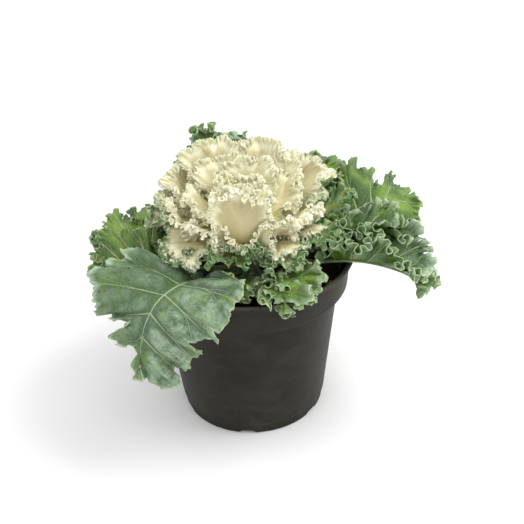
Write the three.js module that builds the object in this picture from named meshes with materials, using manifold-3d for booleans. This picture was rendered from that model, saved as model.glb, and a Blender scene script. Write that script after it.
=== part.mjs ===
// Ornamental kale plant in its nursery pot.
// Units are millimetres, +Z is up. The origin is the centre of the pot's underside, on the surface it stands on.
// -Y is the front of the plant, and azimuths run from +X towards +Y.

import * as THREE from 'three';
import { mergeVertices } from 'three/addons/utils/BufferGeometryUtils.js';
import { ConvexGeometry } from 'three/addons/geometries/ConvexGeometry.js';
import Module from 'manifold-3d';

const wasm = await Module();
wasm.setup();

// ---------------------------------------------------------------------------------------------
// Driving dimensions
// ---------------------------------------------------------------------------------------------

const DEG = Math.PI / 180;
const CLEARANCE = 0.35; // gap between a solid and the one it rests against

const POT = {
  height: 106.6,
  lipRadius: 65,
  bandRadius: 61.4,
  bandBottom: 84.9,
  bodyTopRadius: 55,
  bodyBottomRadius: 45.8,
  seamHeight: 7.7,
  footRadius: 44.4,
  wall: 1.5,
  floorTop: 4.2,
  channelInner: 30,
  channelOuter: 40,
  channelDepth: 2.6,
  notches: 6,
  notchAzimuth: -96,
  notchTopWidth: 7.6,
  notchBottomWidth: 14,
  notchHeight: 2.4,
  drainRadius: 3.2,
  sides: 32,
};

const SOIL = { level: 90, rise: 1.6, sides: 28, rings: 4 };

const STEM = { radius: 7.5, bottom: 62, top: 103, sides: 14 };

const LEAF_THICKNESS = 0.7;
const VEIN_SLANT = 0.84; // run along the midrib for each unit of reach from it
const LAST_VEIN = 0.84; // where the last side vein leaves the midrib, as a share of the blade
const OUTLINE_FULLNESS = 0.85; // under 1 gives the blade broad shoulders

// Unevenness of the margin's waves: their drift and swell along it, the lobes' share of the blade's
// reach, and how fast a wave rises towards the margin.
const RUFFLE = { drift: 0.035, driftTurn: 5.1, swell: 0.3, swellTurn: 7.3, lobe: 0.07, steepening: 1.7 };
const STEEPEST = 0.95; // most that a wave rises, over the distance between two neighbouring lines
const DEEPEST_NOTCH = 0.6; // most that a notch takes of a line from the midrib to the margin
const LEAST_LEAN = 0.6; // between a point's direction and a facet there, where the sheet is thickened

// ---------------------------------------------------------------------------------------------
// Solids
// ---------------------------------------------------------------------------------------------

function toSolid(geometry) {
  const bare = geometry.clone();
  bare.deleteAttribute('normal');
  bare.deleteAttribute('uv');
  const merged = mergeVertices(bare, 1e-4);
  const mesh = new wasm.Mesh({
    numProp: 3,
    vertProperties: new Float32Array(merged.attributes.position.array),
    triVerts: new Uint32Array(merged.index.array),
  });
  return new wasm.Manifold(mesh);
}

function toGeometry(solid) {
  const mesh = solid.getMesh();
  const geometry = new THREE.BufferGeometry();
  geometry.setAttribute('position', new THREE.BufferAttribute(new Float32Array(mesh.vertProperties), 3));
  geometry.setIndex(new THREE.BufferAttribute(new Uint32Array(mesh.triVerts), 1));
  return geometry;
}

function unite(solids) {
  return solids.reduce((whole, next) => whole.add(next));
}

// Cutting can leave a scrap hanging free; the plant keeps only the piece that reaches its root.
function largestPiece(solid) {
  const pieces = solid.decompose();
  return pieces.reduce((best, next) => (next.volume() > best.volume() ? next : best));
}

function turnedAbout(geometry, azimuth) {
  return geometry.clone().applyMatrix4(new THREE.Matrix4().makeRotationZ(azimuth * DEG));
}

// A lathe turns about +Y in three.js; this one turns about +Z. Points are [radius, height], from
// the axis at the bottom round the outside and back to the axis.
function latheAboutZ(profile, sides) {
  const points = profile.map(([radius, height]) => new THREE.Vector2(radius, height));
  const geometry = new THREE.LatheGeometry(points, sides);
  return geometry.applyMatrix4(new THREE.Matrix4().makeRotationX(90 * DEG));
}

// ---------------------------------------------------------------------------------------------
// Leaf shape
// ---------------------------------------------------------------------------------------------

const mix = (a, b, t) => a + (b - a) * t;
const clamp = (value) => Math.min(Math.max(value, 0), 1);
const along3 = ([first, middle, last], t) => (t < 0.5 ? mix(first, middle, 2 * t) : mix(middle, last, 2 * t - 1));

// The midrib runs from the stem through the points of `spine`, each [out, height] along the leaf's
// azimuth. At arc length s it gives the point there and the directions aside and up.
function traceMidrib(leaf) {
  const azimuth = leaf.azimuth * DEG;
  const outward = new THREE.Vector3(Math.cos(azimuth), Math.sin(azimuth), 0);
  const sideways = new THREE.Vector3(-Math.sin(azimuth), Math.cos(azimuth), 0);
  const knots = leaf.spine.map(([out, height]) => outward.clone().multiplyScalar(out).setZ(height));
  const curve = new THREE.CatmullRomCurve3(knots, false, 'centripetal');
  const total = curve.getLength();
  const midrib = (s) => {
    const t = clamp(s / total);
    const along = curve.getTangentAt(t);
    const up = new THREE.Vector3().crossVectors(along, sideways);
    const point = curve.getPointAt(t).addScaledVector(along, s - t * total);
    return { point, side: sideways, up };
  };
  return { midrib, total };
}

// Point of the unruffled blade at arc length s and signed distance v from the midrib. Each half
// leaves the midrib at a `slope` and bends by `curl` towards the margin. Both are given at the
// foot, the middle and the tip of the blade.
function bladePoint(leaf, { midrib, total }, s, v) {
  const { point, side, up } = midrib(s);
  const reach = Math.abs(v);
  const bends = v < 0 ? leaf.right : leaf.left;
  const t = clamp((s - leaf.foot) / (total - leaf.foot));
  const slope = along3(bends.slope, t) * DEG;
  const bend = along3(bends.curl, t) * DEG * (reach / (leaf.width / 2));
  const chord = reach * (Math.abs(bend) > 1e-6 ? Math.sin(bend / 2) / (bend / 2) : 1);
  return point
    .addScaledVector(side, Math.sign(v) * chord * Math.cos(slope + bend / 2))
    .addScaledVector(up, chord * Math.sin(slope + bend / 2));
}

// Outline of one half of the flat blade. `around` is 0 at the foot of the blade and 1 at its tip;
// each line from the midrib to the margin runs forward as a side vein does.
function veinLine(leaf, length, around) {
  const { widest, spread, taper } = leaf;
  const turn = spread * DEG * (1 - around);
  const ahead = Math.cos(turn) > 0 ? 1 - widest : widest;
  const s = length * (widest + ahead * Math.cos(turn));
  const narrowing = 1 - (taper * (1 - Math.cos(turn))) / 2;
  const v = (leaf.width / 2) * Math.sin(turn) ** OUTLINE_FULLNESS * narrowing;
  const start = Math.max(LAST_VEIN * length * around, mix(1, LAST_VEIN, around) * (s - VEIN_SLANT * v));
  return { start: leaf.foot + start, s: leaf.foot + s, v };
}

// Waves of the margin, uneven as on a grown leaf. `around` counts -1..0..1 from one foot of the
// blade over the tip to the other, `out` 0..1 from the midrib to the margin.
function ruffle({ waves, height, phase }, around, out) {
  const { drift, driftTurn, swell, swellTurn, lobe, steepening } = RUFFLE;
  const place = around + drift * Math.sin(driftTurn * around + phase);
  const size = 1 + swell * Math.sin(swellTurn * around + 2 * phase);
  const turn = 2 * Math.PI * waves * place + phase;
  return {
    lift: height * size * out ** steepening * Math.sin(turn),
    reach: 1 + lobe * (Math.cos(0.5 * turn + phase) - 0.7 * Math.cos(2 * turn)),
  };
}

// How much of a line's reach the leaf's notches take: each lies at a place round the margin and has
// its depth, less than none where the margin stands out, and its width as a share of that half.
function notched({ notches }, around, lineLength) {
  const depth = notches.reduce((sum, [place, deep, wide]) => sum + deep * Math.exp(-(((around - place) / wide) ** 2)), 0);
  return Math.min(depth / lineLength, DEEPEST_NOTCH);
}

// The blade as a closed sheet. Its points lie on lines from the midrib to the margin, counted from
// one foot of the blade over the tip to the other.
function bladeSolid(leaf, grow = 0) {
  const midrib = traceMidrib(leaf);
  const length = midrib.total - leaf.foot;
  const { lines, levels } = leaf;
  const rows = [];
  for (let i = -lines; i <= lines; i += 1) {
    const around = i / lines;
    const line = veinLine(leaf, length, 1 - Math.abs(around));
    const side = Math.sign(around) + leaf.lean * Math.abs(Math.sign(around));
    const lineLength = Math.hypot(line.s - line.start, line.v);
    const taken = notched(leaf, around, lineLength);
    const wider = 1 + grow / lineLength;
    rows.push(levels.map((out) => {
      const wave = ruffle(leaf.ruffle, around, out);
      const reach = out * (wave.reach - taken) * (out === 1 ? wider : 1);
      const s = mix(line.start, line.s, reach);
      const v = side * line.v * reach;
      const point = bladePoint(leaf, midrib, s, v);
      const onward = bladePoint(leaf, midrib, s + 1, v).sub(point);
      const aside = bladePoint(leaf, midrib, s, v + 1).sub(point);
      return { point, lift: wave.lift, normal: onward.cross(aside).normalize() };
    }));
  }
  const points = [];
  const grid = rows.map((row, i) => row.map(({ point, lift, normal }, level) => {
    // Both halves share the midrib's points.
    if (level === 0 && i > lines) return (2 * lines - i) * levels.length;
    const gaps = [rows[i - 1], rows[i + 1]].filter(Boolean).map((next) => next[level].point.distanceTo(point));
    const most = STEEPEST * Math.min(...gaps);
    points.push(point.clone().addScaledVector(normal, Math.min(Math.max(lift, -most), most)));
    return points.length - 1;
  }));
  const facets = [];
  for (let row = 0; row + 1 < grid.length; row += 1) {
    for (let level = 0; level + 1 < levels.length; level += 1) {
      const a = grid[row][level];
      const b = grid[row][level + 1];
      const c = grid[row + 1][level + 1];
      const d = grid[row + 1][level];
      // The diagonals lean the same way on both halves, so none lies along the midrib at the tip.
      if (row >= lines === (level % 2 === 0)) facets.push([a, b, c], [a, c, d]);
      else facets.push([a, b, d], [b, c, d]);
    }
  }
  return thicken(points, facets.filter(([a, b, c]) => a !== b && b !== c && c !== a), grow);
}

// Gives a sheet its thickness, kept across its creases. Each facet becomes a prism that meets its
// neighbours in the same walls, so joining the prisms also joins what the waves fold onto itself.
// A sheet that is grown is only used for cutting, so its prisms may stand over their walls.
function thicken(points, facets, grow) {
  const halfThickness = LEAF_THICKNESS / 2 + grow;
  const normals = points.map(() => new THREE.Vector3());
  const normal = new THREE.Vector3();
  const edge = new THREE.Vector3();
  for (const [a, b, c] of facets) {
    normal.subVectors(points[b], points[a]).cross(edge.subVectors(points[c], points[a]));
    for (const corner of [a, b, c]) normals[corner].add(normal);
  }
  const offsets = normals.map(() => halfThickness);
  for (const [a, b, c] of facets) {
    normal.subVectors(points[b], points[a]).cross(edge.subVectors(points[c], points[a])).normalize();
    for (const corner of [a, b, c]) {
      const lean = normal.dot(normals[corner]) / normals[corner].length();
      offsets[corner] = Math.max(offsets[corner], halfThickness / Math.max(lean, LEAST_LEAN));
    }
  }
  normals.forEach((sum, k) => sum.setLength(offsets[k]));
  const prisms = facets.map((corners) => {
    const upper = corners.map((k) => points[k].clone().add(normals[k]));
    const lower = corners.map((k) => points[k].clone().sub(normals[k]));
    if (grow > 0) return toSolid(new ConvexGeometry([...upper, ...lower]));
    const triangles = [0, 1, 2, 3, 5, 4];
    for (const [from, to] of [[0, 1], [1, 2], [2, 0]]) {
      // A wall's diagonal starts at its corner of lower number, in this prism and its neighbour.
      if (corners[from] < corners[to]) triangles.push(from, from + 3, to + 3, from, to + 3, to);
      else triangles.push(from, from + 3, to, from + 3, to + 3, to);
    }
    const positions = [...upper, ...lower].flatMap((point) => point.toArray());
    const geometry = new THREE.BufferGeometry();
    geometry.setAttribute('position', new THREE.Float32BufferAttribute(positions, 3));
    geometry.setIndex(triangles);
    return toSolid(geometry);
  });
  return wasm.Manifold.union(prisms);
}

// Leaf stalk and the thick part of the midrib under the blade, tapering towards the tip.
function stalkGeometry(leaf, grow) {
  const { midrib, total } = traceMidrib(leaf);
  const sides = 6;
  const end = mix(leaf.foot, total, 0.22);
  const steps = 4;
  const positions = [];
  for (let k = 0; k <= steps; k += 1) {
    const s = mix(0, end, k / steps);
    const { point, side, up } = midrib(s);
    const radius = leaf.stalk * (1 - 0.45 * (s / end)) + grow;
    point.addScaledVector(up, -0.45 * radius);
    for (let j = 0; j < sides; j += 1) {
      const angle = (2 * Math.PI * j) / sides;
      const corner = point.clone()
        .addScaledVector(side, radius * 1.15 * Math.cos(angle))
        .addScaledVector(up, radius * Math.sin(angle));
      positions.push(corner.x, corner.y, corner.z);
    }
  }
  const triangles = [];
  for (let k = 0; k < steps; k += 1) {
    for (let j = 0; j < sides; j += 1) {
      const a = k * sides + j;
      const b = k * sides + ((j + 1) % sides);
      triangles.push(a, b, b + sides, a, b + sides, a + sides);
    }
  }
  for (let j = 1; j + 1 < sides; j += 1) {
    triangles.push(0, j + 1, j);
    const top = steps * sides;
    triangles.push(top, top + j, top + j + 1);
  }
  const geometry = new THREE.BufferGeometry();
  geometry.setAttribute('position', new THREE.Float32BufferAttribute(positions, 3));
  geometry.setIndex(triangles);
  return geometry;
}

// `grow` swells the leaf all round, to cut room for it out of a neighbour.
function leafSolid(leaf, grow = 0) {
  const blade = bladeSolid(leaf, grow);
  if (!leaf.stalk) return blade;
  return blade.add(toSolid(stalkGeometry(leaf, grow)));
}

// ---------------------------------------------------------------------------------------------
// Pot, soil and stem
// ---------------------------------------------------------------------------------------------

function potOuterRadius(height) {
  const { bodyBottomRadius, bodyTopRadius, seamHeight, bandBottom } = POT;
  return mix(bodyBottomRadius, bodyTopRadius, (height - seamHeight) / (bandBottom - seamHeight));
}

function potSolid() {
  const p = POT;
  const inside = p.bandRadius - p.wall;
  const shell = latheAboutZ([
    [0, 0],
    [p.channelInner, 0],
    [p.channelInner + 0.8, p.channelDepth],
    [p.channelOuter - 0.8, p.channelDepth],
    [p.channelOuter, 0],
    [p.footRadius - 0.8, 0],
    [p.footRadius, 0.9],
    [p.footRadius + 0.3, p.seamHeight - 0.9],
    [p.bodyBottomRadius, p.seamHeight],
    [p.bodyTopRadius, p.bandBottom],
    [p.bandRadius - 0.9, p.bandBottom + 1.2],
    [p.bandRadius + 0.5, p.height - 4.6],
    [p.lipRadius - 0.4, p.height - 1.8],
    [p.lipRadius, p.height - 0.9],
    [p.lipRadius - 0.7, p.height],
    [p.lipRadius - 2.6, p.height - 0.3],
    [inside, p.height - 4.4],
    [inside - 1.2, p.bandBottom + 2.6],
    [p.bodyTopRadius - p.wall, p.bandBottom - 0.4],
    [p.bodyBottomRadius - p.wall - 0.6, p.floorTop + 2],
    [p.bodyBottomRadius - p.wall - 2.6, p.floorTop],
    [0, p.floorTop],
  ], p.sides);
  let pot = toSolid(shell);
  const notch = notchGeometry();
  const drain = new THREE.CylinderGeometry(p.drainRadius, p.drainRadius, 3 * p.floorTop, 8);
  drain.rotateX(90 * DEG);
  drain.translate((p.channelInner + p.channelOuter) / 2, 0, p.floorTop / 2);
  for (let k = 0; k < p.notches; k += 1) {
    const azimuth = p.notchAzimuth + (360 * k) / p.notches;
    pot = pot.subtract(toSolid(turnedAbout(notch, azimuth)));
    pot = pot.subtract(toSolid(turnedAbout(drain, azimuth)));
  }
  return pot;
}

// Drain notch through the foot ring: a flat-topped opening, wider where it meets the ground.
function notchGeometry() {
  const p = POT;
  const below = 1;
  const flare = (p.notchBottomWidth - p.notchTopWidth) / 2;
  const outline = new THREE.Shape([
    new THREE.Vector2(-p.notchBottomWidth / 2 - flare * below / p.notchHeight, -below),
    new THREE.Vector2(p.notchBottomWidth / 2 + flare * below / p.notchHeight, -below),
    new THREE.Vector2(p.notchTopWidth / 2, p.notchHeight),
    new THREE.Vector2(-p.notchTopWidth / 2, p.notchHeight),
  ]);
  const from = p.channelOuter - 1.5;
  const notch = new THREE.ExtrudeGeometry(outline, { depth: p.footRadius + 3 - from, bevelEnabled: false });
  const frame = new THREE.Matrix4().makeBasis(
    new THREE.Vector3(0, 1, 0),
    new THREE.Vector3(0, 0, 1),
    new THREE.Vector3(1, 0, 0),
  );
  return notch.applyMatrix4(frame).translate(from, 0, 0);
}

// Height of the soil's surface, with low mounds and a slight rise towards the stem.
function soilHeight(x, y) {
  const out = Math.hypot(x, y);
  return SOIL.level
    + SOIL.rise * (0.5 * Math.sin(0.21 * x + 1.1) * Math.cos(0.17 * y) + 0.4 * Math.sin(0.31 * y - 0.13 * x))
    + 1.2 * Math.max(0, 1 - out / 30) - 1.2 * Math.max(0, out / 58 - 0.8);
}

function soilSolid() {
  const inner = (height) => potOuterRadius(height) - POT.wall - CLEARANCE - 0.15;
  const floor = POT.floorTop + CLEARANCE;
  const neck = POT.bandBottom - 0.4;
  const top = POT.bandRadius - POT.wall - 1.2 - CLEARANCE - 0.3;
  const outline = [[0, floor], [inner(floor) - 3.2, floor], [inner(floor + 3) - 0.6, floor + 3],
    [inner(neck), neck], [top, POT.bandBottom + 2.8]];
  for (let k = 0; k <= SOIL.rings; k += 1) outline.push([top * (1 - k / SOIL.rings), SOIL.level]);
  const geometry = latheAboutZ(outline, SOIL.sides);
  const position = geometry.attributes.position;
  for (let k = 0; k < position.count; k += 1) {
    if (Math.abs(position.getZ(k) - SOIL.level) > 0.01) continue;
    position.setZ(k, soilHeight(position.getX(k), position.getY(k)));
  }
  return toSolid(geometry).subtract(stemSolid(CLEARANCE));
}

function stemSolid(grow = 0) {
  const { radius, bottom, top, sides } = STEM;
  const reach = grow > 0 ? 10 : 0;
  return toSolid(latheAboutZ([
    [0, bottom - grow],
    [radius * 0.7 + grow, bottom - grow],
    [radius * 0.95 + grow, bottom + 6],
    [radius + grow, SOIL.level],
    [radius * 0.9 + grow, top + reach],
    [0, top + reach],
  ], sides));
}

// ---------------------------------------------------------------------------------------------
// Leaves
// ---------------------------------------------------------------------------------------------

const half = (foot, tip, curl) => ({ slope: [foot, (foot + tip) / 2, tip], curl: [curl, curl, curl] });
const COARSE = { lines: 9, levels: [0, 0.55, 1] }; // for leaves that mostly lie under others
const halves = (...bends) => ({ right: half(...bends), left: half(...bends) });

// Large green leaves. Their stalks leave the stem in turn low and high, and cross the pot's rim.
const LOW = 95.5;
const HIGH = 101;
const OUTER = {
  lines: 12, levels: [0, 0.42, 0.76, 1], stalk: 2.6, taper: 0.15, spread: 150, widest: 0.46, lean: 0,
  notches: [], ...halves(8, 8, 12),
};
const outerLeaves = {
  leaf_front_left: {
    azimuth: 231, foot: 38, width: 97, lean: -0.03, ruffle: { waves: 3, height: 2.4, phase: 0.4 },
    right: { slope: [28, 5, -22], curl: [-4, -8, -10] }, left: { slope: [34, -4, -62], curl: [0, -24, -24] },
    spine: [[5, LOW], [24, 101], [45, 108], [64, 113.5], [80, 112.5], [91, 104], [97, 90], [100, 72]],
    notches: [
      [0.85, -13, 0.14], [0.54, 8, 0.04], [0.38, 7, 0.05], [0.14, -13, 0.12], [-0.13, 14, 0.06],
      [-0.32, 9, 0.06], [-0.66, -3, 0.06], [-0.77, 4, 0.04], [-0.88, -10, 0.07],
    ],
  },
  leaf_left: {
    azimuth: 174, foot: 42, width: 66, ruffle: { waves: 3, height: 5.5, phase: 1.2 },
    right: half(14, 6, 12), left: half(-4, -12, 12),
    spine: [[5, HIGH], [35, 106], [58, 111], [78, 113], [94, 108]],
    notches: [[-0.3, 5, 0.08], [-0.6, 3, 0.08]],
  },
  leaf_left_low: {
    ...COARSE, azimuth: 196, foot: 46, width: 56, ruffle: { waves: 3, height: 3.8, phase: 3.4 },
    right: half(24, 24, 12), left: half(8, 8, 12),
    spine: [[5, LOW], [35, 101], [62, 109], [80, 109], [91, 101]],
  },
  leaf_left_back: {
    ...COARSE, azimuth: 143, foot: 42, width: 64, ruffle: { waves: 3, height: 5, phase: 2.6 },
    spine: [[5, LOW], [35, 102], [58, 109.5], [76, 105], [89, 94]],
  },
  leaf_back_left: {
    azimuth: 107, foot: 34, width: 46, lines: 10, ruffle: { waves: 3, height: 4.5, phase: 2.2 },
    spine: [[5, HIGH], [28, 109], [47, 124], [60, 147], [64, 165]],
    notches: [[0.3, 9, 0.07], [-0.2, 8, 0.12]],
  },
  leaf_back: {
    ...COARSE, azimuth: 92, foot: 40, width: 52, ruffle: { waves: 3, height: 4.4, phase: 3.2 },
    spine: [[5, LOW], [30, 102], [50, 115], [62, 134], [66, 152]],
  },
  leaf_back_right: {
    ...COARSE, azimuth: 58, foot: 44, width: 68, ruffle: { waves: 3, height: 5.5, phase: 0.4 },
    spine: [[5, HIGH], [30, 105], [60, 114], [82, 122], [96, 126]],
  },
  leaf_right_back: {
    azimuth: 18, foot: 46, width: 80, lines: 11, ruffle: { waves: 3, height: 4.5, phase: 4.2 },
    right: half(8, -16, 12), left: half(8, 8, 12),
    spine: [[5, LOW], [35, 103], [62, 114], [88, 125], [114, 124]],
    notches: [[0.3, 10, 0.05]],
  },
  leaf_right_upper: {
    ...COARSE, azimuth: -3, foot: 34, width: 56, ruffle: { waves: 3, height: 5.5, phase: 2 },
    right: half(30, 24, 12), left: half(2, 8, 12),
    spine: [[5, LOW], [30, 103], [55, 113], [78, 117], [98, 113]],
  },
  leaf_right: {
    azimuth: -21, foot: 46, width: 62, lean: 0.1, lines: 11, ruffle: { waves: 3, height: 5.5, phase: 5.2 },
    right: half(50, 40, 30), left: { slope: [4, 18, 26], curl: [12, 12, 12] },
    spine: [[5, HIGH], [40, 105], [65, 109.5], [78, 109.5], [92, 107], [102, 103], [109, 97]],
  },
  leaf_front_right: {
    azimuth: -57, foot: 28, width: 44, lines: 9, ruffle: { waves: 3, height: 3.8, phase: 0.9 },
    spine: [[5, LOW], [28, 102], [45, 110], [58, 112], [69, 106]],
  },
  leaf_front: {
    ...COARSE, azimuth: -73, foot: 34, width: 30, ruffle: { waves: 3, height: 4, phase: 1.9 },
    spine: [[5, HIGH], [33, 104], [54, 110.5], [68, 110.5], [75, 103]],
  },
  leaf_front_small: {
    ...COARSE, azimuth: -94, foot: 23, width: 28, ruffle: { waves: 3, height: 2.6, phase: 4 },
    spine: [[5, LOW], [26, 100.5], [40, 106.5], [50, 109], [58, 106]],
  },
};

// Cream leaves with green fringes, in one whorl under the heart.
const FRINGED = {
  lines: 8, levels: [0, 0.55, 1], taper: 0.8, spread: 130, widest: 0.62, foot: -3, lean: 0,
  notches: [], ...halves(14, 14, 20),
};
const FRINGED_HUB = { radius: 11, bottom: 104.5, top: 110.6 };
const fringedLeaves = [
  { azimuth: 214, width: 40, spine: [[2, 107], [20, 113], [40, 119], [56, 117]] },
  { azimuth: 260, width: 38, spine: [[2, 107], [18, 112], [38, 117], [53, 112]] },
  { azimuth: 298, width: 36, spine: [[2, 107], [18, 113], [38, 119], [54, 118]] },
  { azimuth: 334, width: 38, spine: [[2, 107], [20, 114], [42, 122], [60, 126]] },
  { azimuth: 10, width: 40, spine: [[2, 107], [22, 113], [48, 124], [66, 136]] },
  { azimuth: 50, width: 42, spine: [[2, 107], [20, 114], [42, 125], [58, 143]] },
  { azimuth: 95, width: 42, spine: [[2, 107], [18, 114], [40, 124], [54, 140]] },
  { azimuth: 136, width: 42, spine: [[2, 107], [20, 113], [42, 121], [58, 132]] },
  { azimuth: 175, width: 40, spine: [[2, 107], [20, 113], [42, 121], [59, 129]] },
];

function fringedSolid(grow = 0) {
  const { radius, bottom, top } = FRINGED_HUB;
  const hub = toSolid(latheAboutZ([
    [0, bottom - grow], [radius * 0.9 + grow, bottom - grow], [radius + grow, top + grow], [0, top + grow],
  ], STEM.sides));
  const leaves = fringedLeaves.map((shape, k) => leafSolid({
    ...FRINGED, ...shape, ruffle: { waves: 2.5, height: 3.4, phase: 0.9 + k },
  }, grow));
  return unite([hub, ...leaves]);
}

// The heart: cupped cream leaves, the lower ones spread wide, the upper ones wrapped round a core.
const HEART = {
  lines: 6, levels: [0, 0.62, 1], taper: 0.75, spread: 128, widest: 0.62, foot: -6, lean: 0,
  notches: [], ...halves(10, 16, 42),
};
const heartLeaves = [
  { azimuth: 180, width: 46, spine: [[2, 113], [20, 120], [38, 134], [50, 148]] },
  { azimuth: 220, width: 44, spine: [[2, 112], [20, 118], [40, 125], [56, 123]] },
  { azimuth: 262, width: 40, spine: [[2, 112], [18, 118], [36, 125], [48, 127]] },
  { azimuth: 302, width: 40, spine: [[2, 112], [18, 118], [36, 126], [50, 129]] },
  { azimuth: 336, width: 46, spine: [[2, 113], [20, 120], [38, 131], [50, 142]] },
  { azimuth: 14, width: 46, spine: [[2, 113], [20, 121], [38, 136], [48, 154]] },
  { azimuth: 50, width: 46, spine: [[2, 113], [20, 122], [36, 140], [46, 160]] },
  { azimuth: 86, width: 46, spine: [[2, 113], [20, 122], [34, 141], [42, 158]] },
  { azimuth: 126, width: 48, spine: [[2, 113], [20, 122], [36, 141], [45, 159]] },
  { azimuth: 238, width: 42, spine: [[2, 116], [18, 121], [34, 132], [42, 147]] },
  { azimuth: 268, width: 48, ...halves(6, 10, 16), spine: [[2, 116], [20, 120], [36, 132], [38, 144], [30, 156], [27, 163]] },
  { azimuth: 300, width: 40, spine: [[2, 116], [18, 121], [34, 131], [41, 143], [42, 150]] },
  { azimuth: 330, width: 42, spine: [[2, 116], [16, 124], [30, 140], [36, 156]] },
  { azimuth: 24, width: 40, spine: [[2, 117], [12, 128], [24, 146], [30, 161]] },
  { azimuth: 68, width: 38, spine: [[2, 117], [10, 130], [20, 147], [26, 161]] },
  { azimuth: 116, width: 38, spine: [[2, 117], [10, 130], [20, 147], [26, 161]] },
  { azimuth: 160, width: 42, spine: [[2, 117], [14, 128], [27, 144], [34, 158]] },
  { azimuth: 200, width: 40, spine: [[2, 117], [12, 128], [25, 144], [31, 159]] },
  { azimuth: 285, width: 30, spine: [[1, 120], [6, 134], [12, 150], [17, 163]] },
  { azimuth: 5, width: 28, spine: [[1, 120], [5, 134], [10, 150], [15, 164]] },
  { azimuth: 90, width: 26, spine: [[1, 120], [4, 134], [8, 149], [12, 162]] },
  { azimuth: 205, width: 28, spine: [[1, 120], [5, 134], [10, 150], [15, 164]] },
];
const HEART_CORE = [[0, 111.2], [9, 111.2], [20, 121], [22, 134], [12, 147], [0, 151]];

function heartSolid(grow = 0) {
  const core = toSolid(latheAboutZ(HEART_CORE.map(([radius, height]) => [
    radius > 0 ? radius + grow : 0, height + (height < 120 ? -grow : grow),
  ]), 12));
  const leaves = heartLeaves.map((shape, k) => leafSolid({
    ...HEART, ...shape, ruffle: { waves: 2, height: shape.width * 0.062, phase: 2.4 * k },
  }, grow));
  return unite([core, ...leaves]);
}

const parts = new THREE.Group();

function addPart(name, solid, color, roughness = 0.6) {
  const mesh = new THREE.Mesh(toGeometry(solid), new THREE.MeshStandardMaterial({ color, roughness, metalness: 0 }));
  mesh.name = name;
  parts.add(mesh);
}

addPart('pot', potSolid(), '#3d3b36', 0.55);
addPart('soil', soilSolid(), '#1d1712', 0.95);
addPart('stem', stemSolid(), '#b7bd8f', 0.6);
addPart('heart', largestPiece(heartSolid()), '#efe8c8', 0.5);
addPart('fringed_leaves', largestPiece(fringedSolid().subtract(heartSolid(CLEARANCE))), '#b8c79a', 0.5);

let taken = unite([stemSolid(CLEARANCE), fringedSolid(CLEARANCE), heartSolid(CLEARANCE)]);
for (const [name, shape] of Object.entries(outerLeaves)) {
  const leaf = { ...OUTER, ...shape };
  addPart(name, largestPiece(leafSolid(leaf).subtract(taken)), '#6f8f5a', 0.5);
  taken = taken.add(leafSolid(leaf, CLEARANCE));
}

export default parts;
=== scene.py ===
import math
from dataclasses import dataclass

import bmesh
import bpy
import numpy as np
from mathutils import Matrix, Vector


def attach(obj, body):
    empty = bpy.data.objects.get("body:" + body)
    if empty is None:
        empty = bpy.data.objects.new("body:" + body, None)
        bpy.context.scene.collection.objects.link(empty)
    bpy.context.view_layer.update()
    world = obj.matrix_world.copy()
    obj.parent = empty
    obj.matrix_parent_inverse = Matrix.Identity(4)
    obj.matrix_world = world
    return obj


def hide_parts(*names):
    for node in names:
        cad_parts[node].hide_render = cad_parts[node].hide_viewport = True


bl_info = {
    "name": "Ornamental kale in its pot",
    "version": (1, 0, 0),
    "blender": (4, 5, 0),
    "location": "3D Viewport > Sidebar > Kale",
    "description": "Dresses the frame of a potted ornamental kale: pot, peat, stem, leaves and heart",
    "category": "Object",
}

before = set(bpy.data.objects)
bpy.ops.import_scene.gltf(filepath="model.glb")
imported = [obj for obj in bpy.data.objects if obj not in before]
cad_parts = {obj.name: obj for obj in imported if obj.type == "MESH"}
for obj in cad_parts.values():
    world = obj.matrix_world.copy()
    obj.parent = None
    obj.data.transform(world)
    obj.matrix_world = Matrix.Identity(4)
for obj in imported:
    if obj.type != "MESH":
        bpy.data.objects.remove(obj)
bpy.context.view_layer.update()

MM = 0.001
DEG = math.pi / 180


# -------------------------------------------------------------------------------------------------
# Driving dimensions, in millimetres and degrees. The leaves keep those of the solids they replace.
# -------------------------------------------------------------------------------------------------

POT_HEIGHT = 106.6
LIP_RADIUS = 65.0
BAND_RADIUS = 61.4
BAND_BOTTOM = 84.9
BAND_TAPER = 1.2  # how far the inside of the band narrows towards its foot
BODY_TOP_RADIUS = 55.0
BODY_BOTTOM_RADIUS = 45.8
SEAM_HEIGHT = 7.7
FOOT_RADIUS = 44.4
POT_WALL = 1.5
POT_FLOOR = 4.2
CHANNEL_INNER = 30.0
CHANNEL_OUTER = 40.0
CHANNEL_DEPTH = 2.6
NOTCHES = 6
NOTCH_AZIMUTH = -96
NOTCH_TOP_WIDTH = 7.6
NOTCH_BOTTOM_WIDTH = 14.0
NOTCH_HEIGHT = 2.4
NOTCH_ROUND = 0.6  # height of the rounded top of a notch
DRAIN_RADIUS = 3.2
SHARPEST_SMOOTH = 40  # edges of the pot that bend more than this stay sharp

SOIL_LEVEL = 90.0
SOIL_RISE = 1.6
SOIL_GAP = 0.5  # between the peat and the pot's wall
SOIL_BOTTOM = POT_FLOOR + 0.35
SOIL_RADIUS = BAND_RADIUS - POT_WALL - BAND_TAPER - SOIL_GAP - 0.15
SOIL_RINGS = 44
SOIL_SECTORS = 150
SCRAP_PLACE = (50.5, -21.0)
SCRAP_TURN = 0.6
SCRAP_THICKNESS = 0.35
SCRAP_HALF_LENGTH = 5.0
SCRAP_HALF_WIDTH = 2.3

STEM_RADIUS = 7.5
STEM_BOTTOM = 62.0
STEM_TOP = 103.0

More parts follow.
